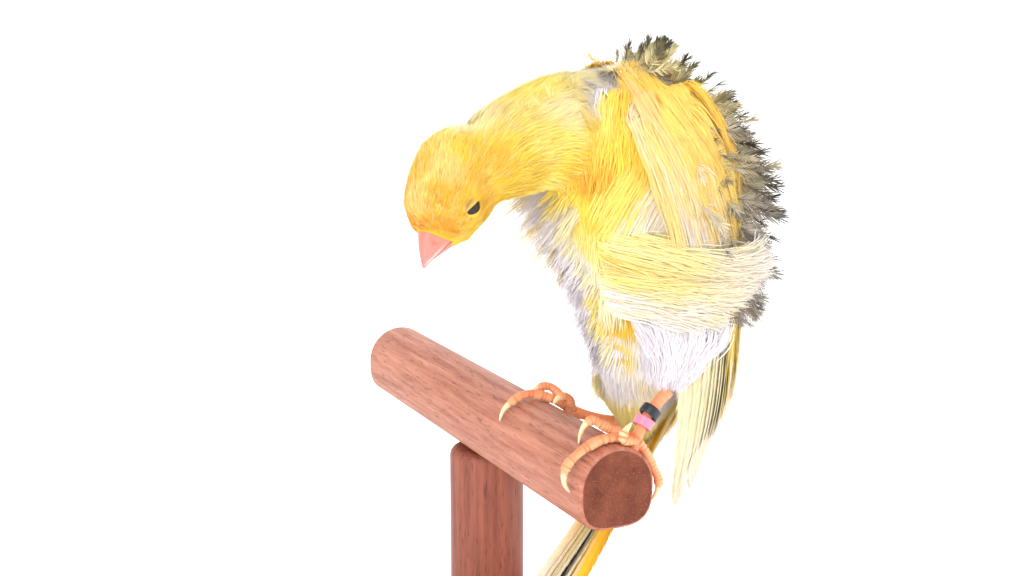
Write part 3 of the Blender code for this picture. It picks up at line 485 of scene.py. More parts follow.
def makeSkinMesh():
    # Head, neck, trunk and upper legs as one skin, a coat's depth inside the solids.
    pieces = []
    rows = smoothRows(body["torso"], 60)
    pieces.append(tubeRings([(x, midY, z) for x, z, _, _ in rows], rows[:, 2], rows[:, 3],
                            (0, 1, 0), 64))
    rows = smoothRows(body["neck"], 40)
    pieces.append(tubeRings(rows[:, :3], rows[:, 3], rows[:, 4], (0, 1, 0), 64))
    rows = smoothRows(body["head"], 44)
    pieces.append(tubeRings([headPoint(a, up, 0) for a, up, _, _ in rows], rows[:, 2],
                            rows[:, 3], headSide, 64))
    for side in legs:
        rows = thighRows(side, 30)
        pieces.append(tubeRings(rows[:, :3], rows[:, 3], rows[:, 3], (0, 1, 0), 40))
    bm = bmesh.new()
    for rings in pieces:
        points, faces = skinned(rings)
        verts = [bm.verts.new(p * mm) for p in points]
        for f in faces:
            bm.faces.new([verts[i] for i in f])
    bmesh.ops.recalc_face_normals(bm, faces=bm.faces)
    mesh = bpy.data.meshes.new("skinSource")
    bm.to_mesh(mesh)
    bm.free()
    source = bpy.data.objects.new("skinSource", mesh)
    bpy.context.scene.collection.objects.link(source)
    even = source.modifiers.new("even", "REMESH")
    even.mode = "VOXEL"
    even.voxel_size = 0.0009
    soft = source.modifiers.new("soft", "SMOOTH")
    soft.factor = 0.5
    soft.iterations = 32
    bpy.context.view_layer.update()
    graph = bpy.context.evaluated_depsgraph_get()
    made = bpy.data.meshes.new_from_object(source.evaluated_get(graph))
    bpy.data.objects.remove(source, do_unlink=True)
    made.calc_loop_triangles()
    points = np.zeros(len(made.vertices) * 3)
    made.vertices.foreach_get("co", points)
    normals = np.zeros(len(made.vertices) * 3)
    made.vertices.foreach_get("normal", normals)
    points, normals = points.reshape(-1, 3) / mm, normals.reshape(-1, 3)
    tris = np.zeros(len(made.loop_triangles) * 3, np.int32)
    made.loop_triangles.foreach_get("vertices", tris)
    bpy.data.meshes.remove(made)
    return points - normals * coatDepth, normals, tris.reshape(-1, 3)


skinPoints, skinNormals, skinTris = makeSkinMesh()
print("skin", len(skinTris), "triangles")


# Lie, length, lift and colour of the coat at places on the body. Rows on the left half are
# mirrored, except where both halves are given.

coatGuides = []


def guide(point, lie, length, lift, colour, tip, mirror=True):
    point, lie = np.array(point, float), np.array(lie, float)
    coatGuides.append((point, lie, length, lift, tones[colour], tones[tip]))
    if mirror and abs(point[1] - midY) > 1:
        coatGuides.append((mirrored(point), lie * (1, -1, 1), length, lift, tones[colour],
                           tones[tip]))


trunkRows = [  # height, turn, lie, length, lift, colour, colour at the tip
    (165, 90, (0.4, -0.8, -0.2), 7, 0.10, "pale", "white"),
    (165, 150, (-0.4, -0.4, 0.1), 6, 0.10, "pale", "white"),
    (165, 180, (-0.5, 0, 0.1), 6, 0.12, "lemon", "white"),
    (165, 30, (0.7, -0.5, 0.1), 8, 0.35, "yellow", "beige"),
    (161, 60, (0.3, -0.7, -0.6), 10, 0.15, "amber", "yellow"),
    (160, 95, (0.3, -0.5, -0.8), 10, 0.10, "amber", "yellow"),
    (160, 118, (0.1, -0.4, -0.9), 7, 0.08, "amber", "lemon"),
    (161, 140, (-0.1, -0.4, -0.7), 6, 0.05, "pale", "white"),
    (155, 133, (0.0, -0.3, -0.9), 6, 0.07, "lemon", "yellow"),
    (155, 115, (0.1, -0.3, -0.9), 7, 0.05, "amber", "amber"),
    (154, 152, (-0.1, -0.3, -0.9), 6, 0.07, "lemon", "yellow"),
    (152, 170, (-0.3, -0.2, -0.8), 7, 0.10, "lemon", "pale"),
    (150, 122, (0.1, -0.3, -0.9), 7, 0.05, "orange", "amber"),
    (145, 140, (0.0, -0.2, -0.9), 7, 0.05, "orange", "orange"),
    (143, 160, (-0.2, -0.2, -0.9), 7, 0.06, "amber", "yellow"),
    (150, 100, (0.3, -0.2, -0.9), 9, 0.05, "amber", "yellow"),
    (141, 112, (0.35, -0.1, -0.9), 9, 0.05, "yellow", "cream"),
    (138, 128, (0.2, -0.2, -0.95), 8, 0.05, "amber", "yellow"),
    (137, 148, (0.0, -0.2, -0.95), 8, 0.06, "amber", "yellow"),
    (137, 168, (-0.3, -0.1, -0.95), 8, 0.08, "yellow", "lemon"),
    (134, 101, (0.3, 0, -0.95), 9, 0.05, "lavender", "grey"),
    (143, 96, (0.3, 0, -0.95), 9, 0.05, "lavender", "cream"),
    (130, 116, (0.1, -0.1, -1), 9, 0.05, "yellow", "lemon"),
    (128, 130, (0.1, -0.1, -1), 9, 0.05, "yellow", "lemon"),
    (130, 152, (0.0, 0.1, -0.95), 9, 0.08, "cream", "lemon"),
    (127, 166, (0.1, 0.1, -0.95), 8, 0.10, "cream", "white"),
    (130, 180, (-0.2, 0.1, -0.95), 9, 0.20, "white", "white"),
    (121, 112, (0.4, -0.15, -0.8), 10, 0.08, "yellow", "lemon"),
    (120, 140, (0.3, -0.1, -0.9), 10, 0.08, "cream", "lemon"),
    (118, 158, (0.2, 0, -0.9), 9, 0.10, "cream", "pale"),
    (117, 178, (0.0, 0.1, -0.95), 9, 0.24, "white", "white"),
    (111, 150, (0.2, 0, -1), 9, 0.08, "gold", "yellow"),
    (104, 158, (0.2, 0, -1), 8, 0.08, "gold", "lemon"),
    (106, 178, (0.1, 0.2, -0.95), 8, 0.25, "white", "white"),
    (106, 105, (0.8, -0.3, -0.25), 11, 0.15, "cream", "white"),
    (99, 180, (0.2, 0, -0.95), 7, 0.20, "white", "white"),
    (92, 160, (0.2, 0.1, -0.95), 6, 0.15, "pale", "white"),
    (92, 120, (0.3, -0.1, -0.9), 7, 0.12, "white", "cream"),
    (84, 150, (0.3, 0, -0.9), 6, 0.12, "pale", "lemon"),
    (152, 0, (0.3, -0.3, -0.7), 9, 0.30, "straw", "beige"),
    (138, 10, (0.1, -0.5, -0.8), 9, 0.30, "straw", "brown"),
    (138, 50, (0.0, -0.5, -0.9), 9, 0.15, "straw", "beige"),
    (122, 10, (0.0, -0.5, -0.8), 9, 0.30, "beige", "brown"),
    (122, 60, (0.0, -0.4, -0.9), 9, 0.12, "straw", "beige"),
    (108, 10, (0.0, -0.3, -0.9), 9, 0.25, "beige", "grey"),
    (98, 20, (0.1, -0.2, -0.95), 8, 0.18, "cream", "lemon"),
    (86, 10, (0.1, 0, -1), 7, 0.10, "yellow", "lemon"),
    (98, 70, (0.1, -0.1, -0.95), 8, 0.12, "cream", "white")]
for height, turn, lie, length, lift, colour, tip in trunkRows:
    guide(trunkPlace(height, turn)[0], lie, length, lift, colour, tip)
neckRows = [  # point, lie, length, lift, colour, colour at the tip
    ((-16, -66, 150), (0.9, -0.1, 0.30), 5.5, 0.05, "golden", "lemon"),
    ((-12, -64.5, 157), (0.9, -0.1, 0.35), 5.5, 0.08, "yellow", "pale"),
    ((-5, -65.5, 152), (0.95, -0.15, 0.05), 6.5, 0.05, "yellow", "yellow"),
    ((-16, -55, 162), (0.95, 0, 0.35), 5.5, 0.12, "yellow", "lemon"),
    ((-4, -53, 165), (0.9, 0, 0.15), 6, 0.10, "lemon", "pale"),
    ((2, -61, 163), (0.8, -0.4, 0.0), 6, 0.06, "lemon", "pale"),
    ((-14, -58, 139), (0.8, 0.1, -0.45), 6, 0.05, "yellow", "lemon"),
    ((-6, -55, 138), (0.7, 0.2, -0.6), 7, 0.08, "yellow", "lemon"),
    ((5, -65, 147), (0.9, -0.2, -0.35), 7, 0.05, "orange", "amber"),
    ((-8, -64, 145), (0.95, -0.1, -0.2), 6.5, 0.05, "yellow", "amber")]
for row in neckRows:
    guide(*row)
headRows = [  # along, up, side, length, lift, colour, colour at the tip
    (12, 3.2, 0, 2.2, 0.12, "forehead", "orange"), (11, 3.5, 3.5, 2.2, 0.10, "forehead", "orange"),
    (8, 8.2, 0, 3.6, 0.10, "golden", "crown"), (7, 7, 5, 3.4, 0.10, "forehead", "golden"),
    (2, 11.5, 0, 4.4, 0.10, "crown", "golden"), (1, 9.5, 5.5, 4.2, 0.08, "golden", "crown"),
    (-6, 11, 0, 4.8, 0.10, "golden", "lemon"), (-6, 7, 7.5, 4.6, 0.08, "golden", "yellow"),
    (7, 2.5, 6.5, 2.2, 0.06, "golden", "golden"), (8, -3.5, 6.2, 2.4, 0.08, "golden", "yellow"),
    (3, -5, 8.2, 3.4, 0.08, "cheek", "golden"), (-3, 0, 9, 3.8, 0.05, "golden", "cheek"),
    (-2, -8, 6.5, 4.2, 0.10, "golden", "yellow"), (-8, -6, 8, 5.0, 0.08, "golden", "yellow"),
    (8, -9, 0, 3.0, 0.12, "yellow", "lemon"), (0, -12, 0, 4.2, 0.12, "yellow", "lemon"),
    (-8, -10, 3, 5.2, 0.12, "yellow", "lemon"), (-11, 8, 3, 6.5, 0.16, "lemon", "pale")]
billRoot = headPoint(14.0, 0.6, 0)
for along, up, side, length, lift, colour, tip in headRows:
    for sign in ((1, -1) if side else (1,)):
        point = headPoint(along, up, side * sign)
        guide(point, unit(point - billRoot), length, lift, colour, tip, False)
legRows = [  # place along the thigh, length, lift
    (0.15, 8.5, 0.22), (0.45, 7.5, 0.20), (0.75, 3.4, 0.10), (0.97, 3.4, 0.10)]
legTones = {"left": ("white", "white"), "right": ("lemon", "cream")}
for side in legs:
    for along, length, lift in legRows:
        row = thighRows(side, 41)[int(along * 40)]
        below = thighRows(side, 41)[min(40, int(along * 40) + 3)]
        for turn in (0, 90, 180, 270):
            way = np.array((math.cos(math.radians(turn)), -math.sin(math.radians(turn)), 0))
            lie = unit(below[:3] - row[:3]) + (0, 0, -0.3)
            guide(row[:3] + way * row[3], lie, length, lift, *legTones[side], False)
guidePoints = np.array([g[0] for g in coatGuides])
guideLies = unit(np.array([g[1] for g in coatGuides]))
guideSizes = np.array([(g[2], g[3]) for g in coatGuides])
guideTones = np.array([np.concatenate([g[4], g[5]]) for g in coatGuides])


def coatAt(points):
    # Lie, length, lift and the two colours at points, from the nearest guides.
    lies, sizes, colours = [], [], []
    for chunk in np.array_split(np.asarray(points, float), max(1, len(points) // 20000)):
        away = ((chunk[:, None] - guidePoints[None]) ** 2).sum(-1) + 1.0
        soft, sharp = away ** -2.2, away ** -3.2        # colours change over shorter ways
        soft /= soft.sum(1, keepdims=True)
        sharp /= sharp.sum(1, keepdims=True)
        lies.append(soft @ guideLies)
        sizes.append(soft @ guideSizes)
        colours.append(sharp @ guideTones)
    lies, sizes, colours = np.concatenate(lies), np.concatenate(sizes), np.concatenate(colours)
    return unit(lies), sizes[:, 0], sizes[:, 1], colours[:, :3], colours[:, 3:]


fleshNodes = ("head", "neck", "breast", "belly", "mantle", "rump", "flank_left", "flank_right",
              "thigh_left", "thigh_right")
finishPiece("skin", skinPoints, skinTris, "skin", fleshNodes,
            coatAt(skinPoints)[3] * 0.97)
print("skin made")


# Tufts: a fan of barbs from each root

coatStations = 3                # points along a barb


def scatter(count, keep, seed, density=None):
    # Roots and normals spread evenly on the part of the skin that keep picks.
    rng = np.random.default_rng(seed)
    corners = skinPoints[skinTris]
    centre = corners.mean(1)
    area = np.linalg.norm(np.cross(corners[:, 1] - corners[:, 0], corners[:, 2] - corners[:, 0]),
                          axis=1)
    weight = area * keep(centre)
    if density is not None:
        weight = weight * density(centre)
    total = np.cumsum(weight)
    picks = (np.arange(count) + rng.random(count)) / count * total[-1]
    index = np.minimum(np.searchsorted(total, picks), len(weight) - 1)
    a, b = rng.random(count), rng.random(count)
    flip = a + b > 1
    a[flip], b[flip] = 1 - a[flip], 1 - b[flip]
    mixTo = np.stack([1 - a - b, a, b], 1)[:, :, None]
    tris = skinTris[index]
    return (skinPoints[tris] * mixTo).sum(1), unit((skinNormals[tris] * mixTo).sum(1)), rng


def growTufts(roots, normals, rng, options, lies=None):
    # Tufts on roots: barbs fan from the lie, draw towards their lock and stand off the skin.
    o = {"spread": 0.22, "sink": 0.5, "wild": 0.1, "streak": 0.0, **options}
    lie, length, lift, tintRoot, tintTip = coatAt(roots)
    lie = lie if lies is None else lies
    lie = unit(lie - normals * (lie * normals).sum(1, keepdims=True))
    count = len(roots)
    # locks: each tuft leans towards the tip of the lock that it belongs to
    lockCount = max(8, int(count / (o["lockSize"] ** 2 * 6)))
    lockPick = rng.choice(count, lockCount, replace=False)
    tree = kdtree.KDTree(lockCount)
    for i, j in enumerate(lockPick):
        tree.insert(roots[j], i)
    tree.balance()
    lock = np.array([tree.find(p)[1] for p in roots])
    lockTip = roots[lockPick] + lie[lockPick] * (length[lockPick] * 0.9)[:, None]
    lockTip += normals[lockPick] * (length * lift)[lockPick][:, None]
    lockTone = rng.normal(0, 1, lockCount)
    b = o["barbs"]
    size = length[:, None] * rng.uniform(0.78, 1.15, (count, b))
    fan = np.linspace(-1, 1, b)[None] * o["spread"] + rng.normal(0, o["spread"] * 0.25, (count, b))
    across = np.cross(normals, lie)
    way = (lie[:, None] * np.cos(fan)[..., None] + across[:, None] * np.sin(fan)[..., None]
           + rng.normal(0, o["wild"], (count, b, 3)))
    start = (roots - normals * o["sink"])[:, None] + across[:, None] * rng.normal(
        0, 0.16, (count, b))[..., None] - lie[:, None] * rng.uniform(0, 0.5, (count, b))[..., None]
    rise = lift[:, None] * rng.uniform(0.6, 1.35, (count, b)) + 0.035
    t = np.linspace(0, 1, coatStations)
    path = (start[:, :, None] + way[:, :, None] * (size[..., None] * t)[..., None]
            + normals[:, None, None] * (size[..., None] * rise[..., None] * t ** 1.5
                                        + o["sink"] * np.minimum(1, t * 3))[..., None])
    draw = (lockTip[lock][:, None] - path[:, :, -1]) * o["clump"]
    reach = np.linalg.norm(draw, axis=-1, keepdims=True)
    draw *= np.minimum(1, 0.45 * size[..., None] / np.maximum(reach, 1e-6))
    path += draw[:, :, None] * (t ** 2)[None, None, :, None]
    face = unit(normals[:, None] + rng.normal(0, 0.12, (count, b, 3)))
    shade = (1 + 0.045 * lockTone[lock][:, None] + rng.normal(0, 0.05, (count, b)))[..., None]
    low = np.clip(tintRoot[:, None] * shade, 0, 1)
    pick = rng.random(count)
    tipTone = mix(tintTip, tones["brown"], (pick < o["streak"] * 0.5) * 0.45)
    tipTone = mix(tipTone, tones["pale"], (pick > 1 - o["streak"] * 0.5) * 0.65)
    high = np.clip(tipTone[:, None] * shade, 0, 1)
    thick = o["width"] * rng.uniform(0.7, 1.3, (count, b))
    return (path.reshape(-1, coatStations, 3), face.reshape(-1, 3), thick.reshape(-1),
            low.reshape(-1, 3), high.reshape(-1, 3))


def coatPiece(name, roots, normals, rng, unwrap, options, lies=None):
    path, face, thick, low, high = growTufts(roots, normals, rng, options, lies)
    uv = np.repeat(unwrap(roots), options["barbs"], 0)
    points, faces, tints, uvs = ribbons(path, face, thick, low, high, uv)
    finishPiece(name, points, faces, "down", (), tints, uvs)
    print(name, len(faces), "triangles")


def unwrapTrunk(p):
    return np.stack([np.arctan2(midY - p[:, 1], p[:, 0] - 17) / 6.3 + 0.5,
                     np.clip((p[:, 2] - 68) / 102, 0, 1) * 0.97 + 0.01], 1)


def unwrapNeck(p):
    return np.stack([np.arctan2(p[:, 1] + 53, p[:, 2] - 149) / 6.3 + 0.5,
                     np.clip((p[:, 0] + 42) / 64, 0, 1) * 0.97 + 0.01], 1)


def unwrapHead(p):
    along, up, side = headPlace(p)
    return np.stack([np.arctan2(side, up) / 6.3 + 0.5,
                     np.clip((along + 16) / 32, 0, 1) * 0.97 + 0.01], 1)


def unwrapLeg(p):
    centre = np.where(p[:, 1:2] < midY, (20.0, -64.0), (18.5, -41.0))
    return np.stack([np.arctan2(p[:, 1] - centre[:, 1], p[:, 0] - centre[:, 0]) / 13.0 + 0.25
                     + 0.5 * (p[:, 1] > midY),
                     np.clip((p[:, 2] - 70) / 45, 0, 1) * 0.97 + 0.01], 1)


eye = {"place": (2.9, -0.3, 6.75), "radius": 2.3, "opening": (60.0, 26.0), "lid": 0.2,
       "lidEnd": 84.0}


def eyeAxes(sign):
    # the way the eye looks, the line of its slit, and the way to the brow
    out = unit(headSide * sign + headUp * 0.10 + headForward * 0.12)
    slit = unit(headForward * 0.87 + headUp * 0.42)
    slit = unit(slit - out * np.dot(slit, out))
    upper = unit(np.cross(slit, out))
    return out, slit, upper if np.dot(upper, headUp) > 0 else -upper


def isHead(p):
    return (p - (-26.0, -55.5, 146.0)) @ unit((-0.85, -0.15, -0.5)) > 0


def isNeck(p):
    return ((p - (-4.0, midY, 149.0)) @ unit((-0.97, -0.05, 0.22)) > 0) & ~isHead(p)


def isThigh(p):
    left = (p[:, 1] < -57) & (p[:, 2] < 104) & (p[:, 0] > 10)
    right = (p[:, 1] > -47) & (p[:, 2] < 100)
    return left | right


def isFront(p):
    return p[:, 0] < 18


def faceDensity(p):
    along = headPlace(p)[0]
    return 0.7 + 1.1 * step(-2, 9, along)


def bare(p):
    # Places that the bill and the eyes keep free of feathers.
    along, up, side = headPlace(p)
    keep = np.ones(len(p))
    for sign in (1, -1):
        centre = headPoint(*eye["place"][:2], eye["place"][2] * sign)
        out, slit, upper = eyeAxes(sign)
        far = np.hypot((p - centre) @ slit / 2.15, (p - centre) @ upper / 1.3)
        keep *= (far > 1) | ((p - centre) @ out < 0)
    bill = (along > 8.6) & (np.hypot(side / 4.0, (up + 1.4) / 5.6) < 1)
    return keep * ~bill


coats = {  # seed and tufts, how the barbs of a tuft lie, and the slot; low and high are heights
    "coatHead": {"seed": 11, "tufts": 12400, "slot": "plumage_yellow", "barbs": 5, "width": 0.17,
                 "spread": 0.2, "clump": 0.35, "lockSize": 1.6, "sink": 0.3, "wild": 0.07,
                 "streak": 0.22},
    "coatNeck": {"seed": 12, "tufts": 8200, "slot": "plumage_yellow", "barbs": 6, "width": 0.18,
                 "clump": 0.35, "lockSize": 1.8, "streak": 0.2},
    "coatChest": {"seed": 13, "tufts": 7200, "low": 134, "high": 200},
    "coatBreast": {"seed": 14, "tufts": 6600, "low": 114, "high": 134},
    "coatBelly": {"seed": 15, "tufts": 4800, "low": 0, "high": 114},
    "coatBack": {"seed": 16, "tufts": 3600, "low": 112, "high": 200, "back": True},
    "coatRump": {"seed": 17, "tufts": 3200, "low": 0, "high": 112, "back": True},
    "coatThighs": {"seed": 18, "tufts": 4600, "slot": "plumage_white", "barbs": 6, "width": 0.2,
                   "clump": 0.4, "lockSize": 2.0}}
frontCoat = {"slot": "plumage_white", "barbs": 7, "width": 0.19, "clump": 0.3, "lockSize": 2.2,
             "wild": 0.08}
backCoat = {"slot": "plumage_dark", "barbs": 6, "width": 0.24, "clump": 0.4, "lockSize": 2.4}


def makeBodyCoat():
    for name, coat in coats.items():
        coat = {**(backCoat if "back" in coat else frontCoat if "low" in coat else {}), **coat}
        lies, density, unwrap = None, None, unwrapTrunk
        if name == "coatHead":
            density, unwrap = faceDensity, unwrapHead

            def keep(p):
                return isHead(p) * bare(p)
        elif name == "coatNeck":
            keep, unwrap = isNeck, unwrapNeck
        elif name == "coatThighs":
            keep, unwrap = isThigh, unwrapLeg
        else:
            def keep(p):
                half = isFront(p) != ("back" in coat)
                trunk = ~isHead(p) & ~isNeck(p) & ~isThigh(p)
                return trunk & half & (p[:, 2] >= coat["low"]) & (p[:, 2] < coat["high"])
        roots, normals, rng = scatter(coat["tufts"], keep, coat["seed"], density)
        if name == "coatHead":          # the feathers of the face point away from the bill
            lies = mix(unit(roots - billRoot), coatAt(roots)[0],
                       step(-4, -13, headPlace(roots)[0]))
        coatPiece(name, roots, normals, rng, unwrap, coat, lies)


makeBodyCoat()


# Long locks: strands that follow a curved way side by side, wander a little and part at the end

def lockStrands(way, faces, width, rng, count, tintRoot, tintTip, uv, strand=0.2, deep=0.4,
                flare=0.35, stations=6, ends=(0.62, 1.06), starts=(0.0, 0.3), wave=0.25):
    way = smoothRows(way, 25)
    faces = smoothRows(faces, 25) if np.ndim(faces) == 2 else np.repeat([faces], 25, 0)
    run = np.gradient(way, axis=0)
    across = unit(np.cross(unit(run), faces))
    up = np.cross(across, unit(run))
    side = rng.normal(0, 0.5, count).clip(-1.2, 1.2)
    begin = rng.uniform(*starts, count)
    end = rng.uniform(*ends, count) - 0.16 * np.abs(side) ** 2
    t = begin[:, None] + (end - begin)[:, None] * np.linspace(0, 1, stations)[None]
    place = np.clip(t, 0, 1) * 24
    i = np.minimum(place.astype(int), 23)
    f = (place - i)[..., None]
    beyond = np.maximum(t - 1, 0)[..., None] * np.linalg.norm(run, axis=1).sum()

    def along(rows):
        return rows[i] * (1 - f) + rows[i + 1] * f

    shape = np.interp(t, (0, 0.25, 0.7, 1.06), (0.55, 0.95, 1.0, 0.75))
    offset = side[:, None] * width / 2 * shape * (1 + flare * np.maximum(0, t - 0.6) * 2.5)
    phase = rng.uniform(0, 6.3) + rng.normal(0, 0.7, count)[:, None]
    offset = offset + wave * np.sin(phase + t * rng.uniform(4, 9)) * t
    height = rng.normal(0, deep, count)[:, None] * (0.3 + t * 0.9)
    path = (along(way) + along(unit(run)) * beyond + along(across) * offset[..., None]
            + along(up) * height[..., None])
    path += rng.normal(0, 0.5, (count, 1, 3)) * np.linspace(0, 1, stations)[None, :, None] ** 2
    shade = 1 + rng.normal(0, 0.045, (count, 1))
    low = np.clip(np.repeat([tintRoot], count, 0) * shade, 0, 1)
    high = np.clip(np.repeat([tintTip], count, 0) * shade, 0, 1)
    return ribbons(path, unit(along(up) + rng.normal(0, 0.12, (count, 1, 3))),
                   strand * rng.uniform(0.7, 1.3, count), low, high, np.repeat([uv], count, 0))


def frillWay(root, normal, lie, length, lift, sink=1.8):
    # the line of a lock that lies along the body and then curls off it
    lie = unit(lie - normal * np.dot(lie, normal))
    points, faces = [], []
    for t in np.linspace(0, 1, 7):
        along = length * t * (1 - 0.35 * lift * t)
        off = length * lift * t ** 1.6 - sink * (1 - t) ** 3
        points.append(root + lie * along + normal * off)
        faces.append(unit(normal - lie * lift * 1.2 * t))
    return np.array(points), np.array(faces)


def unwrapOne(point):
    return unwrapTrunk(np.array([point]))[0]


def joinedPiece(name, parts, look, replaced=()):
    points, faces, tints, uvs = gather(parts)
    finishPiece(name, points, faces, look, replaced, tints, uvs)
    print(name, len(faces), "triangles")


jabot = {"rows": 17, "gap": 6.0, "strands": 32, "strand": 0.19, "length": (14.0, 18.5)}


def makeBreastFrills():
    # Frills from both sides part and meet along the middle of the breast.
    rng = np.random.default_rng(21)
    parts = []
    for row, height in enumerate(np.linspace(150, 100, jabot["rows"])):
        for turn in np.arange(160, 244, jabot["gap"]):
            turn += rng.uniform(-3, 3)
            root, normal = trunkPlace(height + rng.uniform(-1.5, 1.5), turn)
            side = 1 if turn > 187 else -1
            centre = max(0.0, 1 - abs(turn - 192) / 36)
            low = row / (jabot["rows"] - 1)
            lie = np.array((-0.45 - 0.15 * centre, -side * 0.3, -0.9))
            length = rng.uniform(*jabot["length"]) * (0.72 + 0.28 * centre) * (1 - 0.36 * low)
            lift = (0.12 + 0.60 * centre ** 0.7) * (1 - 0.40 * low)
            if side > 0 and low < 0.6:
                lie = np.array((-0.80, 0.36, -0.52 - 0.3 * low))
                length, lift = length * 1.25, 0.5 - 0.3 * low
            if side < 0 and turn > 168 and height < 149:
                base, tip = tones["white"], mix(tones["white"], tones["lavender"], rng.random())
            elif side < 0:
                base, tip = mix(tones["pale"], tones["cream"], rng.random()), tones["pale"]
                if height > 138:
                    base, tip = tones["yellow"], tones["lemon"]
                if 106 < height < 118:
                    base, tip = tones["yellow"], tones["lemon"]
            elif low > 0.55:
                base, tip = tones["white"], tones["white"]
            else:
                base = tones["lemon"]
                tip = tones["yellow"] if rng.random() < 0.35 else tones["white"]
            way, faces = frillWay(root, normal, lie, length, lift)
            parts.append(lockStrands(way, faces, 4.2, rng, jabot["strands"], base, tip,
                                     unwrapOne(root), strand=jabot["strand"], deep=0.5, wave=0.4))
    joinedPiece("frillBreast", parts, "down")


def trunkWay(start, end, out, count=7):
    # a way over the trunk, between two places given as height and turn
    rows = []
    for t in np.linspace(0, 1, count):
        point, normal = trunkPlace(start[0] + (end[0] - start[0]) * t,
                                   start[1] + (end[1] - start[1]) * t ** 1.3)
        rows.append((point + normal * (out * math.sin(min(1, t * 2.5) * math.pi / 2)), normal))
    return np.array([r[0] for r in rows]), np.array([r[1] for r in rows])


flow = {"width": 4.6, "strands": 20, "strand": 0.2}
flows = [  # start height and turn, end height and turn, spread, locks, stand off, two colours
    ((153, 96), (122, 150), (5, 12), 44, 1.7, "amber", "lemon"),
    ((146, 92), (116, 140), (5, 10), 40, 1.9, "cream", "lavender"),
    ((140, 100), (114, 132), (6, 12), 34, 1.5, "lemon", "cream"),
    ((157, 128), (136, 144), (4, 14), 30, 1.3, "amber", "orange"),
    ((133, 108), (112, 126), (5, 12), 30, 1.8, "yellow", "lemon"),
    ((124, 150), (104, 158), (6, 7), 24, 1.6, "cream", "pale"),
    ((124, 116), (108, 122), (5, 16), 30, 1.9, "lemon", "cream"),
    ((160.5, 110), (143, 124), (3, 12), 60, 2.4, "amber", "yellow"),
    ((160.5, 128), (146, 136), (3, 9), 60, 2.4, "lemon", "amber"),
    ((161, 140), (151, 142), (2, 6), 30, 2.6, "white", "white"),
    ((160, 78), (150, 92), (4, 12), 50, 1.6, "cream", "amber")]


def makeFlows():
    # Long soft feathers that sweep from the shoulder down over the side of the breast.
    parts = []
    for side in (-1, 1):
        rng = np.random.default_rng(26 + side)
        for start, end, spread, locks, out, first, second in flows:
            for _ in range(locks):
                a, b = rng.uniform(-1, 1, 2)
                begin = (start[0] + a * spread[0], start[1] + b * spread[1])
                stop = (end[0] + a * spread[0] + rng.uniform(-3, 3), end[1] + b * spread[1])
                length = rng.uniform(0.45, 0.75)
                slide = rng.uniform(0, 1 - length)
                places = [tuple(begin[n] + (stop[n] - begin[n]) * f for n in (0, 1))
                          for f in (slide, slide + length)]
                way, faces = trunkWay(*places, out * rng.uniform(0.6, 1.15))
                if side > 0:
                    way, faces = mirrored(way), faces * (1, -1, 1)
                base = mix(tones[first], tones[second], slide + 0.1 * rng.random())
                tip = mix(tones[first], tones[second], min(1, slide + length) - 0.1 * rng.random())
                parts.append(lockStrands(way, faces, flow["width"], rng, flow["strands"], base,
                                         tip, unwrapOne(way[0]), strand=flow["strand"], deep=0.14,
                                         flare=0.3, stations=5, ends=(0.7, 1.0), wave=0.35))
    joinedPiece("flowsShoulder", parts, "down")


def makeBellyFrills():
    rng = np.random.default_rng(22)
    parts = []
    for row, height in enumerate(np.linspace(104, 96, 3)):
        for turn in np.arange(150, 215, 8):
            turn += rng.uniform(-4, 4)
            root, normal = trunkPlace(height, turn)
            lie = np.array((0.5, 0.3 if turn < 180 else -0.3, -1.0))
            ridge = max(0.0, 1 - abs(turn - 186) / 40)
            length = rng.uniform(4.5, 6) - 0.4 * row
            way, faces = frillWay(root, normal, lie, length, 0.06 + 0.3 * ridge)
            base = mix(tones["white"], tones["pale"], rng.random())
            parts.append(lockStrands(way, faces, 3.8, rng, 34, base, tones["white"],
                                     unwrapOne(root), strand=0.15))
    joinedPiece("frillBelly", parts, "down")


fin = {"way": ((0.0, -65.0, 121.5), (7.5, -71.8, 119.5), (16.0, -76.6, 118.0),
               (26.0, -78.6, 117.0), (34.5, -77.5, 117.5), (40.0, -74.5, 119.5)),
       "locks": 270, "strands": 19, "plume": 190, "reach": (8, 12), "fan": (21.0, 19.0, 14.5, 11.0)}


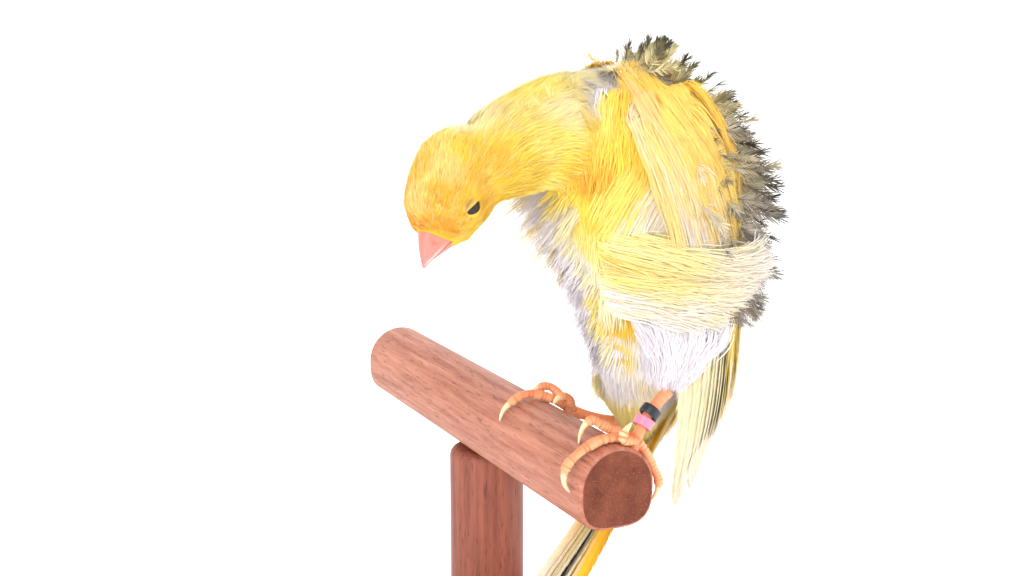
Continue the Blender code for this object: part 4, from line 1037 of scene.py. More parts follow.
def makeFins():
    # The flank's fin: long soft locks that sweep back over the wing and curl up behind it.
    for side, name in ((-1, "finLeft"), (1, "finRight")):
        rng = np.random.default_rng(33 + side)
        parts = []
        base = np.array(fin["way"])
        if side > 0:
            base = base + np.array([(9, 0, 0)]) * np.linspace(1, 0, 6)[:, None]
        line = smoothRows(base, 26)
        for k in range(fin["locks"]):
            f = rng.uniform(-0.4, 0.5)
            begin = rng.uniform(-0.5, 18) if k % 5 else rng.uniform(14, 19)
            stop = begin + rng.uniform(*fin["reach"])
            limit = np.interp(f, (-0.4, -0.1, 0.2, 0.5), (13.0, 19.0, 24.5, 25.5))
            stop = min(stop, limit + rng.uniform(-2, 1))
            begin = max(0, min(begin, stop - 6))
            layer = rng.uniform(-0.4, 1.4)
            turn, lift = rng.normal(0, 1.5), rng.uniform(0.2, 1.8)
            points, faces = [], []
            for i in np.linspace(begin, stop, 7):
                t = i / 25
                local = (i - begin) / max(stop - begin, 1)
                x, y, z = line[int(min(max(i, 0), 25))]
                z += f * np.interp(t, (0, 0.35, 0.65, 1), fin["fan"]) + turn * local - 1.0
                z += 1.5 * t ** 3 + min(0, f + 0.2) * 10 * t
                y += layer + 1.6 * (1 - local) ** 2 - lift * local ** 1.6 + 2.0 * max(0, f) * (1 - t)
                points.append((x, y if side < 0 else 2 * midY - y, z))
                faces.append(unit(np.array((-0.55 + 0.6 * t, side, 0.25))))
            high = float(step(-0.35, 0.0, f + rng.normal(0, 0.08)))
            colour = mix(mix(tones["lavender"], tones["white"], rng.random()),
                         mix(tones["lemon"], tones["cream"], rng.random()), high)
            if 0.0 < f < 0.2 and begin < 8:
                colour = mix(colour, tones["gold"], 0.5)
            outer = float(step(0.5, 0.9, stop / 25))
            tip = mix(mix(colour, tones["cream"], 0.6),
                      mix(tones["white"], tones["grey"], 0.6 * rng.random()), outer)
            parts.append(lockStrands(points, np.array(faces), 4.6, rng, fin["strands"],
                                     mix(colour, tones["cream"], 0.3 * outer), tip,
                                     unwrapOne(np.array(points[0])), strand=0.18, deep=0.35,
                                     flare=1.5, stations=6, ends=(0.55, 1.04), wave=0.45))
        # the plume under the fin: down that gathers towards the ankle
        ankle = thighRows("left" if side < 0 else "right", 41)[-1][:3]
        for _ in range(fin["plume"]):
            i = rng.uniform(3, 16)
            start = line[int(i)] + (0, rng.uniform(-0.5, 2.2), -3.0 - rng.uniform(0, 6))
            if side > 0:
                start[1] = 2 * midY - start[1]
            end = mix(start, ankle, rng.uniform(0.45, 1.0))
            begin = mix(start, end, rng.uniform(0, 0.35))
            bulge = np.array((1.2, side * rng.uniform(0.5, 2.2), 0))
            way = [mix(begin, end, t) + bulge * math.sin(math.pi * t)
                   for t in np.linspace(0, 1, 6)]
            colour = mix(tones["white"], tones["lavender"], 0.8 * rng.random())
            parts.append(lockStrands(way, unit(np.array((-0.4, side, 0.1))), 3.6, rng, 18, colour,
                                     tones["white"], unwrapOne(way[0]), strand=0.19, deep=0.4,
                                     flare=0.9, stations=6, ends=(0.7, 1.04), wave=0.4))
        joinedPiece(name, parts, "down")


plumes = {"locks": 170, "width": 3.0, "strands": 26, "strand": 0.15}


def makeThighPlumes():
    # Long white feathers that hang from the fin down to the near ankle.
    rng = np.random.default_rng(44)
    parts = []
    line = thighRows("left", 41)
    for _ in range(plumes["locks"]):
        turn = rng.uniform(30, 250)
        begin = rng.uniform(0, 0.45)
        stop = min(0.97, begin + rng.uniform(0.35, 0.6))
        way, faces = [], []
        for t in np.linspace(begin, stop, 6):
            x, y, z, r = line[int(t * 40)]
            out = np.array((math.cos(math.radians(turn)), -math.sin(math.radians(turn)), 0.1))
            way.append(np.array((x, y, z)) + out * (r + 0.9 * math.sin(t * math.pi)))
            faces.append(out)
        colour = mix(tones["white"], tones["lavender"], rng.random())
        parts.append(lockStrands(way, np.array(faces), plumes["width"], rng, plumes["strands"],
                                 colour, tones["white"], unwrapLeg(np.array([way[0]]))[0],
                                 strand=plumes["strand"], deep=0.3, stations=5,
                                 ends=(0.75, 1.05), wave=0.35))
    joinedPiece("plumesThigh", parts, "down")


wisps = {"shoulder": 150, "nape": 60, "strand": 0.11}


def makeTopWisps():
    # White down that stands up where the coat parts over the shoulders, and nape tufts.
    rng = np.random.default_rng(24)
    parts = []
    for _ in range(wisps["shoulder"]):
        x = rng.uniform(-5, 22)
        y = midY + rng.uniform(-12, 9)
        root = np.array((x, y, 161.0 - abs(y - midY) * 0.18))
        lean = np.array((rng.normal(-0.1, 0.5) - (0.7 if x < 3 else 0), rng.normal(-0.2, 0.5), 0.8))
        length = rng.uniform(4.5, 8.0) - abs(y - midY) * 0.15
        way = [root + unit(lean) * length * t + (0, 0, -1.0 * t * t) for t in (0, 0.35, 0.7, 1)]
        colour = tones["white"] if 3 < x < 17 or rng.random() < 0.3 else tones["lemon"]
        tip = mix(tones["grey"], tones["tan"], rng.random()) if rng.random() < 0.6 \
            else tones["white"]
        parts.append(lockStrands(way, unit(np.array((rng.normal(0, 1), -1, 0.2))), 2.6, rng, 14,
                                 colour, tip, unwrapOne(root), strand=wisps["strand"], deep=0.7,
                                 flare=1.6, stations=4))
    for _ in range(wisps["nape"]):
        t = rng.random()
        root = mix(np.array((-21, -56, 155.5)), np.array((-2, -53, 163)), t)
        root = root + (0, rng.uniform(-7, 5), 0)
        lean = np.array((rng.uniform(-0.8, 0.4), rng.uniform(-0.5, 0.3), 0.6))
        way = [root + unit(lean) * rng.uniform(3, 4.6) * s for s in (0, 0.35, 0.7, 1)]
        parts.append(lockStrands(way, unit(np.array((0.3, -1, 0.2))), 1.8, rng, 12,
                                 tones["lemon"], tones["pale"] if rng.random() < 0.6 else
                                 tones["beige"], unwrapOne(root), strand=wisps["strand"],
                                 deep=0.5, flare=1.2, stations=4))
    joinedPiece("wispsTop", parts, "down")


makeBreastFrills()
makeFlows()
makeBellyFrills()
makeFins()
makeThighPlumes()
makeTopWisps()


# Feathers with a shaft and barbs

def featherParts(way, faces, half, rng, o, uv):
    # One feather: barbs on both sides of a shaft. half holds the vane's half widths on each
    # side, at even places along it.
    o = {"gap": 0.45, "angle": 28.0, "barb": 0.62, "open": 0.0, "rag": 0.06, "start": 0.06,
         "shaft": 0.34, "tint": tones["cream"], "edge": tones["white"], "tip": tones["white"],
         "shaftTint": tones["pale"], "tipFrom": 0.6, **o}
    way = smoothRows(way, 31)
    faces = smoothRows(faces, 31) if np.ndim(faces) == 2 else np.repeat([faces], 31, 0)
    gaps = np.linalg.norm(np.diff(way, axis=0), axis=1)
    total = gaps.sum()
    run = unit(np.gradient(way, axis=0))
    across = unit(np.cross(run, faces))
    up = np.cross(across, run)
    count = max(6, int(total * (1 - o["start"]) / o["gap"]))
    parts = []
    for sign, widths in ((-1, half[0]), (1, half[1])):
        s = np.linspace(o["start"], 1.0, count) + rng.uniform(-0.3, 0.3, count) / count
        s = np.clip(s, 0, 1)
        place = s * 30
        i = np.minimum(place.astype(int), 29)
        f = (place - i)[:, None]

        def along(rows):
            return rows[i] * (1 - f) + rows[i + 1] * f

        wide = np.interp(s, np.linspace(0, 1, len(widths)), widths)
        angle = np.radians(o["angle"]) * (1 - 0.45 * s ** 3) * (1 + o["open"] * rng.normal(
            0, 0.3, count))
        reach = wide / np.maximum(np.sin(angle), 0.2)
        reach = reach * (1 + rng.normal(0, o["rag"], count))
        ahead = along(run) * np.cos(angle)[:, None]
        out = along(across) * (sign * np.sin(angle))[:, None]
        t = np.linspace(0, 1, 3)
        base = along(way)
        path = base[:, None] + (ahead + out)[:, None] * (reach[:, None] * t)[..., None]
        path += along(run)[:, None] * (reach[:, None] * 0.16 * t ** 2)[..., None]
        path += along(up)[:, None] * (rng.normal(0, 0.05 + 0.5 * o["open"], (count, 1)) * t
                                      - 0.06)[..., None]
        tipped = step(o["tipFrom"], 1.0, s)[:, None]
        low = np.repeat([o["tint"]], count, 0) * (1 - tipped) + o["tip"] * tipped
        high = np.repeat([o["edge"]], count, 0) * (1 - tipped) + o["tip"] * tipped
        shade = 1 + rng.normal(0, 0.035, (count, 1))
        parts.append(ribbons(path, unit(along(up) + 0.12 * sign * along(across)),
                             np.full(count, o["barb"]), np.clip(low * shade, 0, 1),
                             np.clip(high * shade, 0, 1), np.repeat([uv], count, 0),
                             shape=np.array((1.0, 0.95, 0.7))))
    # shaft
    line = way[::3] + up[::3] * 0.05
    size = o["shaft"] * np.linspace(1, 0.25, len(line))
    rings = np.array([[line[j] + (across[::3][j] * math.cos(a) + up[::3][j] * math.sin(a))
                       * size[j] / 2 for a in (0, 2.09, 4.19)] for j in range(len(line))])
    points, tris = skinned(rings)
    tint = np.repeat([o["shaftTint"]], len(points), 0)
    spot = np.repeat([uv], len(points), 0) + np.linspace(-1, 1, len(points))[:, None] * 0.001
    parts.append((points, tris, tint, spot))
    return parts


# Wings

wingRows = [  # leading edge, middle line and rear edge, at six heights of the left wing
    ((5.5, -66.0, 160.5), (17.0, -70.0, 163.0), (27.0, -62.5, 163.0)),
    ((10.5, -72.6, 143.0), (23.5, -72.6, 144.0), (33.5, -64.5, 145.0)),
    ((16.5, -72.8, 122.0), (29.0, -70.6, 123.0), (36.8, -60.0, 124.0)),
    ((19.5, -70.5, 103.0), (30.5, -68.5, 104.0), (37.8, -60.0, 106.0)),
    ((22.5, -66.0, 82.0), (31.5, -64.5, 84.0), (37.5, -60.0, 86.0)),
    ((24.5, -62.5, 65.5), (28.5, -61.5, 66.0), (31.5, -59.5, 67.5))]
wingSheet = smoothRows(np.array(wingRows).reshape(6, 9), 61)


def sheetPoint(along, across):
    place = min(max(along, 0.0), 1.0) * 60
    i = min(int(place), 59)
    lead, middle, rear = (wingSheet[i] + (wingSheet[i + 1] - wingSheet[i]) * (place - i)
                          ).reshape(3, 3)
    bow = middle - (lead + rear) / 2
    over = (along - 1.0) * 88 if along > 1 else 0.0
    return lead * (1 - across) + rear * across + bow * 4 * across * (1 - across) - (0, 0, over)


def wingPlace(along, across, out, side):
    held = min(max(along, 0.02), 0.98)
    down = sheetPoint(held + 0.02, across) - sheetPoint(held - 0.02, across)
    over = sheetPoint(held, across + 0.05) - sheetPoint(held, across - 0.05)
    normal = unit(np.cross(down, over))
    normal = normal if np.dot(normal, (0.3, -1, 0)) > 0 else -normal
    point = sheetPoint(along, across) + normal * out
    if side > 0:
        point[1] = 2 * midY - point[1]
        normal = normal * (1, -1, 1)
    return point, normal


wing = {
    "flightTips": (0.96, 0.965, 0.955, 0.935, 0.91, 0.88, 0.85, 0.82, 0.80, 0.79, 0.80, 0.81,
                   0.80, 0.78, 0.72),
    "flightWidth": 4.3,
    "vane": (0.4, 0.7, 0.85, 0.95, 1.0, 1.0, 1.0, 0.9, 0.45),
    "tiers": [  # how many, root and tip along the wing, half width, height, raggedness
        (12, 0.20, 0.56, 2.6, 1.7, 0.05), (13, 0.10, 0.40, 2.4, 2.2, 0.08)],
    "drapes": {"locks": 230, "strands": 24, "strand": 0.21},
    "shoulder": {"locks": 150, "strands": 22, "strand": 0.19}}


def wingTone(across, along):
    top = 1 - float(step(0.08, 0.3, along))
    # lavender along the front, a slit, a pale band, then golden towards the back edge
    colour = mix(tones["lavender"], tones["cream"], step(0.35, 0.55, along))
    colour = mix(colour, tones["white"], step(0.24, 0.30, across))
    colour = mix(colour, tones["yellow"], step(0.40, 0.50, across))
    colour = mix(colour, tones["yellow"], 0.85 * float(step(0.75, 0.9, across)))
    return mix(colour, tones["amber"], 0.85 * top)


def makeWing(side, name, node):
    rng = np.random.default_rng(40 + side)
    parts = []
    rings = []          # core under the feathers
    for along in np.linspace(0.02, 0.55, 24):
        narrow = 0.5 + 0.5 * min(1.0, 0.2 + along * 6)
        rings.append([wingPlace(along, 0.5 - math.cos(t) * 0.44 * narrow,
                                -0.75 + math.sin(t) * 0.5, side)[0]
                      for t in np.linspace(0, 2 * math.pi, 20, endpoint=False)])
    points, faces = skinned(rings)
    parts.append((points, faces, np.repeat([tones["cream"]], len(points), 0),
                  np.repeat([[0.5, 0.5]], len(points), 0)))
    tips = wing["flightTips"]
    for k, tip in enumerate(tips):
        f = k / (len(tips) - 1)
        across = 0.10 + 0.81 * f
        level = 0.1 + 0.65 * f + 0.12 * (k % 2)
        ways, faces = [], []
        for t in np.linspace(0, 1, 9):
            height = -0.5 + (level + 0.5) * min(1, t / 0.25)
            point, normal = wingPlace(0.30 + (tip - 0.30) * t, across, height, side)
            ways.append(point)
            faces.append(normal)
        w = wing["flightWidth"]
        inner = [w * 0.75 * q for q in wing["vane"]]
        outer = [w * 1.15 * q for q in wing["vane"]]
        base = mix(mix(tones["pale"], tones["white"], 0.5), tones["yellow"], 0.05 + 0.75 * (f > 0.8))
        parts += featherParts(ways, faces, (inner, outer) if side < 0 else (outer, inner), rng, {
            "tint": base, "edge": mix(tones["pale"], tones["yellow"], 0.85 if f > 0.8 else 0.05),
            "tip": mix(tones["lavender"], tones["cream"], 0.5), "tipFrom": 0.7, "gap": 0.36,
            "shaftTint": tones["pale"]}, (0.05 + 0.9 * f, 0.3))
    for count, root, tip, half, top, rag in wing["tiers"]:
        for k in range(count):
            f = (k + rng.uniform(-0.25, 0.25)) / (count - 1)
            across = 0.08 + 0.84 * min(max(f, 0), 1)
            ways, faces = [], []
            end = tip - 0.02 * f + rng.uniform(-0.02, 0.02)
            for t in np.linspace(0, 1, 7):
                height = -0.5 + (top + 0.3 * (k % 2) + 0.5) * min(1, t / 0.3)
                point, normal = wingPlace(root + (end - root) * t, across, height, side)
                ways.append(point)
                faces.append(normal)
            colour = wingTone(across, tip)
            parts += featherParts(ways, faces, ([half * q for q in wing["vane"]],) * 2, rng, {
                "tint": colour, "edge": mix(colour, tones["pale"], 0.3),
                "tip": mix(colour, tones["pale"], 0.4), "open": rag, "rag": 0.08 + rag,
                "gap": 0.4}, (0.05 + 0.9 * across, 0.6))
    joinedPiece(name, parts, "vane", (node,))
    # long loose feathers that fall from the shoulder over the wing
    parts = []
    drapes, shoulder = wing["drapes"], wing["shoulder"]
    for k in range(drapes["locks"]):
        last = rng.uniform(0.02, 0.98) if k % 4 else rng.uniform(0.8, 1.0)
        if 0.19 < last < 0.25 and k % 4:
            continue
        first = last * rng.uniform(0.55, 0.95)
        start = rng.uniform(-0.06, 0.34) if k % 4 else rng.uniform(0.15, 0.5)
        length = rng.uniform(0.22, 0.42) * (1.15 if last > 0.5 else 0.85)
        out = rng.uniform(2.0, 3.4)
        ways, faces = [], []
        for t in np.linspace(0, 1, 8):
            along = start + length * t
            across = first + (last - first) * min(1, (max(along, 0) / 0.35)) ** 0.8
            sunk = (out + 1.5) * (1 - t) ** 5
            point, normal = wingPlace(along, across, out - sunk - 0.5 * t, side)
            ways.append(point)
            faces.append(normal)
        colour = wingTone(last, start + length * 0.6)
        if start < 0.08 and last > 0.25:
            colour = mix(colour, tones["amber"], 0.75)
        if last < 0.26:
            colour = mix(colour, tones["tan"], 0.25 + 0.3 * (last > 0.16))
        narrow = 3.0 if last > 0.4 else 2.4
        parts.append(lockStrands(ways, np.array(faces), narrow, rng, drapes["strands"], colour,
                                 mix(colour, tones["pale"], 0.25), (0.05 + 0.9 * last, 0.85),
                                 strand=drapes["strand"], deep=0.12, flare=0.1, stations=6,
                                 starts=(0.0, 0.25), ends=(0.8, 1.02), wave=0.15))
    for _ in range(shoulder["locks"]):
        last = rng.uniform(-0.08, 0.7)
        start, normal = trunkPlace(rng.uniform(152, 166), rng.uniform(66, 112))
        if side > 0:
            start, normal = mirrored(start), normal * (1, -1, 1)
        stop = rng.uniform(0.18, 0.45)
        ways, faces = [start - normal * 0.8, start + normal * 1.2], [normal, normal]
        for t in (0.35, 0.7, 1.0):
            out = 2.6 + rng.uniform(-0.3, 0.5)
            point, face = wingPlace(stop * t, last * (0.4 + 0.6 * t), out, side)
            if point[2] < start[2] - 3:
                ways.append(point)
                faces.append(face)
        colour = mix(tones["amber"], tones["yellow"], rng.random())
        if last < 0.22:
            colour = mix(colour, mix(tones["cream"], tones["lavender"], rng.random()),
                         0.75 * rng.random())
        parts.append(lockStrands(ways, np.array(faces), 3.6, rng, shoulder["strands"], colour,
                                 mix(colour, tones["cream"], 0.4), (0.05, 0.9),
                                 strand=shoulder["strand"], deep=0.2, flare=0.3, stations=6,
                                 ends=(0.75, 1.0), wave=0.3))
    joinedPiece(name + "Drape", parts, "down")


makeWing(-1, "wingLeft", "wing_left")
makeWing(1, "wingRight", "wing_right")


# Tail

tail = {"rows": [  # centre x, height, half thickness, half width
    (31.5, 97.0, 4.5, 7.5), (30.0, 90.0, 4.0, 7.2), (26.8, 82.5, 2.8, 7.0), (19.8, 71.5, 1.8, 7.4),
    (12.5, 60.0, 1.4, 7.8), (5.0, 49.0, 1.1, 8.4), (-3.0, 38.5, 0.8, 9.0), (-5.5, 34.5, 0.6, 7.0)],
    "feathers": 12, "outer": 1.35, "inner": 2.5, "vane": (0.5, 0.8, 0.95, 1, 1, 0.95, 0.25),
    "coverts": 46}
tailLine = smoothRows(tail["rows"], 41)


def tailPlace(along, across, out):
    place = min(along, 1.0) * 40
    i = min(int(place), 39)
    here = tailLine[i] + (tailLine[i + 1] - tailLine[i]) * (place - i)
    run = unit(tailLine[min(i + 1, 40)][:2] - tailLine[max(i - 1, 0)][:2])
    normal = np.array((-run[1], 0.0, run[0]))
    normal = normal if normal[0] > 0 else -normal
    return np.array((here[0], midY + across * here[3], here[1])) + normal * out, normal


def makeTail():
    rng = np.random.default_rng(51)
    rows = tailLine[:20]
    points, faces = skinned(tubeRings([(x, midY, z) for x, z, _, _ in rows], rows[:, 2] * 0.7,
                                      rows[:, 3] * 0.8, (0, 1, 0), 24))
    parts = [(points, faces, np.repeat([tones["cream"] * 0.9], len(points), 0),
              np.repeat([[0.5, 0.5]], len(points), 0))]
    for k in range(tail["feathers"]):
        spread = 2 * k / (tail["feathers"] - 1) - 1
        depth = -0.9 + 1.9 * (1 - abs(spread)) + 0.12 * (k % 2)
        end = 0.985 - 0.05 * (1 - abs(spread)) - 0.03 * abs(spread) ** 6
        ways, faces = [], []
        for t in np.linspace(0, 1, 9):
            p, n = tailPlace(0.18 + (end - 0.18) * t, spread * (0.45 + 0.43 * t), depth)
            ways.append(p)
            faces.append(n)
        a, b = (tail["outer"], tail["inner"])[::1 if spread < 0 else -1]
        dark = k % 3 == 1 and abs(spread) < 0.7
        half = [a * q for q in tail["vane"]], [b * q for q in tail["vane"]]
        base = tones["tailYellow"] if abs(spread) > 0.7 or spread < -0.25 else (
            tones["dark"] if dark else tones["straw"])
        parts += featherParts(ways, faces, half, rng, {
            "tint": base, "edge": tones["tailYellow"] if spread < -0.25 else tones["pale"],
            "tip": tones["dark"] if dark else mix(tones["white"], tones["beige"], rng.random()),
            "tipFrom": 0.45 if spread > -0.7 else 0.9, "gap": 0.4,
            "shaftTint": tones["brown"] if dark else tones["pale"]}, (0.05 + 0.07 * k, 0.3))
    for k in range(tail["coverts"]):
        upper = 1 if k % 2 else -1
        across = rng.uniform(-0.75, 0.75)
        start = rng.uniform(0.0, 0.2)
        ways = [tailPlace(start + 0.3 * t, across * (1 - 0.1 * t), upper * (
            2.6 - 1.1 * t - 0.6 * abs(across)))[0] for t in (0, 0.33, 0.66, 1)]
        normal = tailPlace(start + 0.15, across, 0)[1] * upper
        colour = tones["yellow"] if upper > 0 or across < 0 else tones["cream"]
        parts.append(lockStrands(ways, normal, 4.2, rng, 44, colour, mix(colour, tones["pale"], 0.4),
                                 (0.5 + across * 0.4, 0.8), deep=0.3, flare=0.3, stations=5))
    joinedPiece("tailFeathers", parts, "vane", ("tail",))


makeTail()


# Mantle: ruffled feathers, each a bushy fan of barbs round a short dark shaft

mantle = {"gap": 3.6, "shaft": (9.5, 13.0), "barb": 3.6, "barbs": 50, "width": 0.24,
          "from": 0.3, "open": (64.0, 14.0), "heights": (112, 166.4), "reach": 84.0}


def brush(root, axis, face, size, rng, body, dark, uv):
    across = unit(np.cross(axis, face))
    n = mantle["barbs"]
    shaft = rng.uniform(*mantle["shaft"]) * size
    bend = rng.normal(0, 0.5)
    s = np.concatenate([np.linspace(mantle["from"], 1.0, n - 6), np.ones(6)])
    side = np.where(np.arange(n) % 2 == 0, 1.0, -1.0)
    outer = (s - mantle["from"]) / (1 - mantle["from"])
    angle = np.radians(mantle["open"][0] + (mantle["open"][1] - mantle["open"][0]) * outer ** 1.4)
    angle = angle * rng.uniform(0.75, 1.2, n)
    angle[-6:] = np.radians(np.linspace(-38, 38, 6)) * side[-6:]
    reach = mantle["barb"] * size * (1.12 - 0.30 * outer) * rng.uniform(0.82, 1.12, n)
    tilt = rng.normal(0, 0.28, n)
    base = root + axis * (shaft * s)[:, None] + face * (bend * s ** 2)[:, None]
    way = (axis * np.cos(angle)[:, None] + across * (side * np.sin(angle))[:, None]
           + face * tilt[:, None])
    t = np.linspace(0, 1, 4)
    path = base[:, None] + way[:, None] * (reach[:, None] * t)[..., None]
    path += axis * (reach[:, None] * 0.22 * t ** 2)[..., None] \
        + np.array((0, 0, -0.02)) * (reach[:, None] * t ** 2)[..., None]
    tipDark = np.clip(dark * (0.1 + 1.3 * outer) + rng.normal(0, 0.2, n), 0, 1)[:, None]
    shade = 1 + rng.normal(0, 0.06, (n, 1))
    low = mix(body, tones["dark"], 0.9 * dark)[None] * shade
    inner = (0.85 * dark * step(0.4, 0.85, outer))[:, None]
    middle = (mix(body, tones["pale"], 0.15)[None] * (1 - inner) + tones["dark"] * inner) * shade
    high = (mix(body, tones["pale"], 0.3)[None] * (1 - tipDark) + tones["dark"] * tipDark) * shade
    look = unit(face + rng.normal(0, 0.3, (n, 3)))
    return ribbons(path, look, mantle["width"] * rng.uniform(0.8, 1.25, n), np.clip(low, 0, 1),
                   np.clip(high, 0, 1), np.repeat([uv], n, 0),
                   shape=np.array((0.9, 1.0, 0.8, 0.3)), tintMid=np.clip(middle, 0, 1))


def makeMantle():
    rng = np.random.default_rng(61)
    parts = []
    places = []
    low, high = mantle["heights"]
    for height in np.arange(low, high, mantle["gap"] * 0.86):
        wide = float(np.interp(height, torsoLine[:, 1], torsoLine[:, 3]))
        reach = mantle["reach"] if height < 158 else 70.0
        turns = int(2 * reach * math.radians(1) * wide / mantle["gap"]) + 2
        for turn in np.linspace(-reach, reach, turns):
            places.append((height + rng.uniform(-1, 1), turn + rng.uniform(-3, 3)))
    for x, y in ((x, y) for x in np.arange(8, 24, 3.6) for y in np.arange(-14, 15, 4.0)):
        if x > 12 + abs(y) * 0.1:
            places.append((166.0, math.degrees(math.atan2(-y, x - 4))))
    for height, turn in places:
        root, normal = trunkPlace(min(height, 165.5), turn)
        if height > 165.9:
            root = root + (rng.uniform(-2, 4), rng.uniform(-5, 5), 0)
        climb = (height - low) / 54
        side = 1 if turn > 0 else -1
        edge = min(1.0, abs(turn) / mantle["reach"])
        lie = np.array((0.15, -side * (0.35 + 0.5 * rng.random()), -0.9 + 1.1 * climb))
        lie = unit(lie - normal * np.dot(lie, normal))
        stand = np.clip(0.92 - 0.60 * edge ** 2.2 + rng.normal(0, 0.10), 0.15, 1.0)
        axis = unit(lie * (1 - stand) + normal * stand + rng.normal(0, 0.12, 3))
        face = unit(np.array((0.1, -1.0 if turn > -20 else 1.0, 0.2)) + rng.normal(0, 0.5, 3))
        face = unit(face - axis * np.dot(face, axis))
        body = mix(tones["bone"], mix(tones["beige"], tones["grey"], 0.4), 0.6 * rng.random())
        if climb > 0.8:
            body = mix(body, tones["lemon"], 0.4)
        if climb < 0.45:
            body = mix(body, tones["lavender"], 0.5)
        dark = (1.0 if rng.random() < 0.8 else 0.35) * (1 - 0.8 * edge ** 3)
        if climb < 0.12:
            dark *= 0.6
        size = rng.uniform(0.85, 1.15) * (1.0 - 0.38 * climb ** 3)
        parts.append(brush(root - axis * 1.0, axis, face, size, rng, body, dark, unwrapOne(root)))
    joinedPiece("mantleFeathers", parts, "down")


makeMantle()


# Eyes and lids

def makeEyes():
    for sign, name, node in ((1, "eyeLeft", "eye_left"), (-1, "eyeRight", "eye_right")):
        centre = headPoint(*eye["place"][:2], eye["place"][2] * sign)
        out, slit, upper = eyeAxes(sign)
        rings = []
        for polar in np.linspace(3, 177, 30):
            a = math.radians(polar)
            rings.append([centre + (out * math.cos(a) + (slit * math.cos(t) + upper * math.sin(t))
                                    * math.sin(a)) * eye["radius"]
                          for t in np.linspace(0, 2 * math.pi, 48, endpoint=False)])
        points, faces = skinned(rings)
        finishPiece(name, points, faces, "eye", (node,))
        # lids: a shell round the opening, with a pale rim
        rings, tints = [], []
        for j, f in enumerate(np.linspace(0, 1, 12)):
            ring = []
            for t in np.linspace(0, 2 * math.pi, 64, endpoint=False):
                long, tall = eye["opening"]
                tall = tall * (0.8 if math.sin(t) > 0 else 1.1)
                edge = 1 / math.hypot(math.cos(t) / long, math.sin(t) / tall)
                a = math.radians(edge + (eye["lidEnd"] - edge) * f ** 1.3)
                swell = eye["lid"] * (0.35 if j == 0 else 1.0)
                swell += 0.10 * math.exp(-((f - 0.16) / 0.1) ** 2)
                ring.append(centre + (out * math.cos(a) + (slit * math.cos(t) + upper
                                                           * math.sin(t)) * math.sin(a))
                            * (eye["radius"] + swell))
                rim = math.exp(-(f / 0.2) ** 2)
                # shade browns the middle of the upper lid: dark skin with painted shade under the
                # brow
                shade = math.exp(-((f - 0.5) / 0.25) ** 2) * max(0, math.sin(t + 0.5)) * 0.8
                colour = mix(mix(tones["golden"], tones["brown"], shade), tones["cheek"] * 0.8, rim)
                tints.append(colour)
            rings.append(ring)
        points, faces = skinned(rings, closed=False)
        finishPiece(name + "Lids", points, faces, "scaly", (), np.array(tints))
    print("eyes")


makeEyes()


# Bill

bill = {"base": 9.6, "tip": (18.3, -0.2), "gapeDrop": 2.8, "ridge": 5.4,
        "upperWidth": 4.3, "lowerWidth": 3.9, "lowerDepth": 3.3, "lowerShort": 1.5,
        "nostril": (12.6, 1.9, 2.75), "nostrilSize": 0.62, "nostrilDepth": 0.55,
        "root": tone("F0795A"), "end": tone("E08078"), "back": tone("D9685C"),
        "cutting": tone("F6CFC6"), "mouth": tone("A54E4A"), "point": tone("A8605E")}


def makeBill():
    for upper, name in ((True, "bill_upper"), (False, "bill_lower")):
        rings, tints = [], []
        base, tip = bill["base"], bill["tip"][0]
        for t in np.linspace(0, 1, 40):
            along = base - 1.2 + (tip - base + 1.2) * t
            if not upper:
                along = base - 2.2 + (tip - bill["lowerShort"] - base + 2.2) * t
            taper = (1 - t ** 1.55) * 0.96 + 0.04
            back = (tip - along) / (tip - base + 2.2)
            mouth = bill["tip"][1] - back - bill["gapeDrop"] * back ** 2.2
            ridge = bill["tip"][1] - (1 - t) + bill["ridge"] * taper + 0.35
            width = bill["upperWidth" if upper else "lowerWidth"] * taper
            height = ridge - mouth if upper else bill["lowerDepth"] * taper + 0.2
            ring = []
            for turn in np.linspace(0, math.pi, 25):
                up = height * math.sin(turn) ** 0.9
                side = width * math.cos(turn)
                ring.append(headPoint(along, mouth + (up + 0.12) * (1 if upper else -1), side))
                edge = math.exp(-((up - 0.45) / 0.35) ** 2)
                colour = mix(bill["root"], bill["end"], t ** 0.8)
                colour = mix(colour, bill["back"], 0.45 * math.sin(turn) ** 6)
                colour = mix(colour, bill["cutting"], (0.85 if upper else 0.5) * edge)
                colour = mix(colour, bill["mouth"], 0.8 * (1 - step(0.02, 0.2, up)))
                # the last part of the bill darkens to the point colour: painted shade at the tip
                tints.append(mix(colour, bill["point"], 0.7 * step(0.82, 1.0, t)))
            rings.append(ring)
        points, faces = skinned(rings)
        if upper:
            along, up, side = bill["nostril"]
            for sign in (1, -1):
                hole = headPoint(along, up, side * sign)
                near = np.linalg.norm(points - hole, axis=1) / bill["nostrilSize"]
                dent = np.exp(-near ** 4) * bill["nostrilDepth"]
                points = points - (headSide * sign)[None] * dent[:, None]
        tints = np.vstack([tints, [tints[0], tints[-1]]])
        finishPiece("bill" + ("Upper" if upper else "Lower"), points, faces, "bill",
                    (name,), tints)
    print("bill")


makeBill()


# Legs, toes and rings

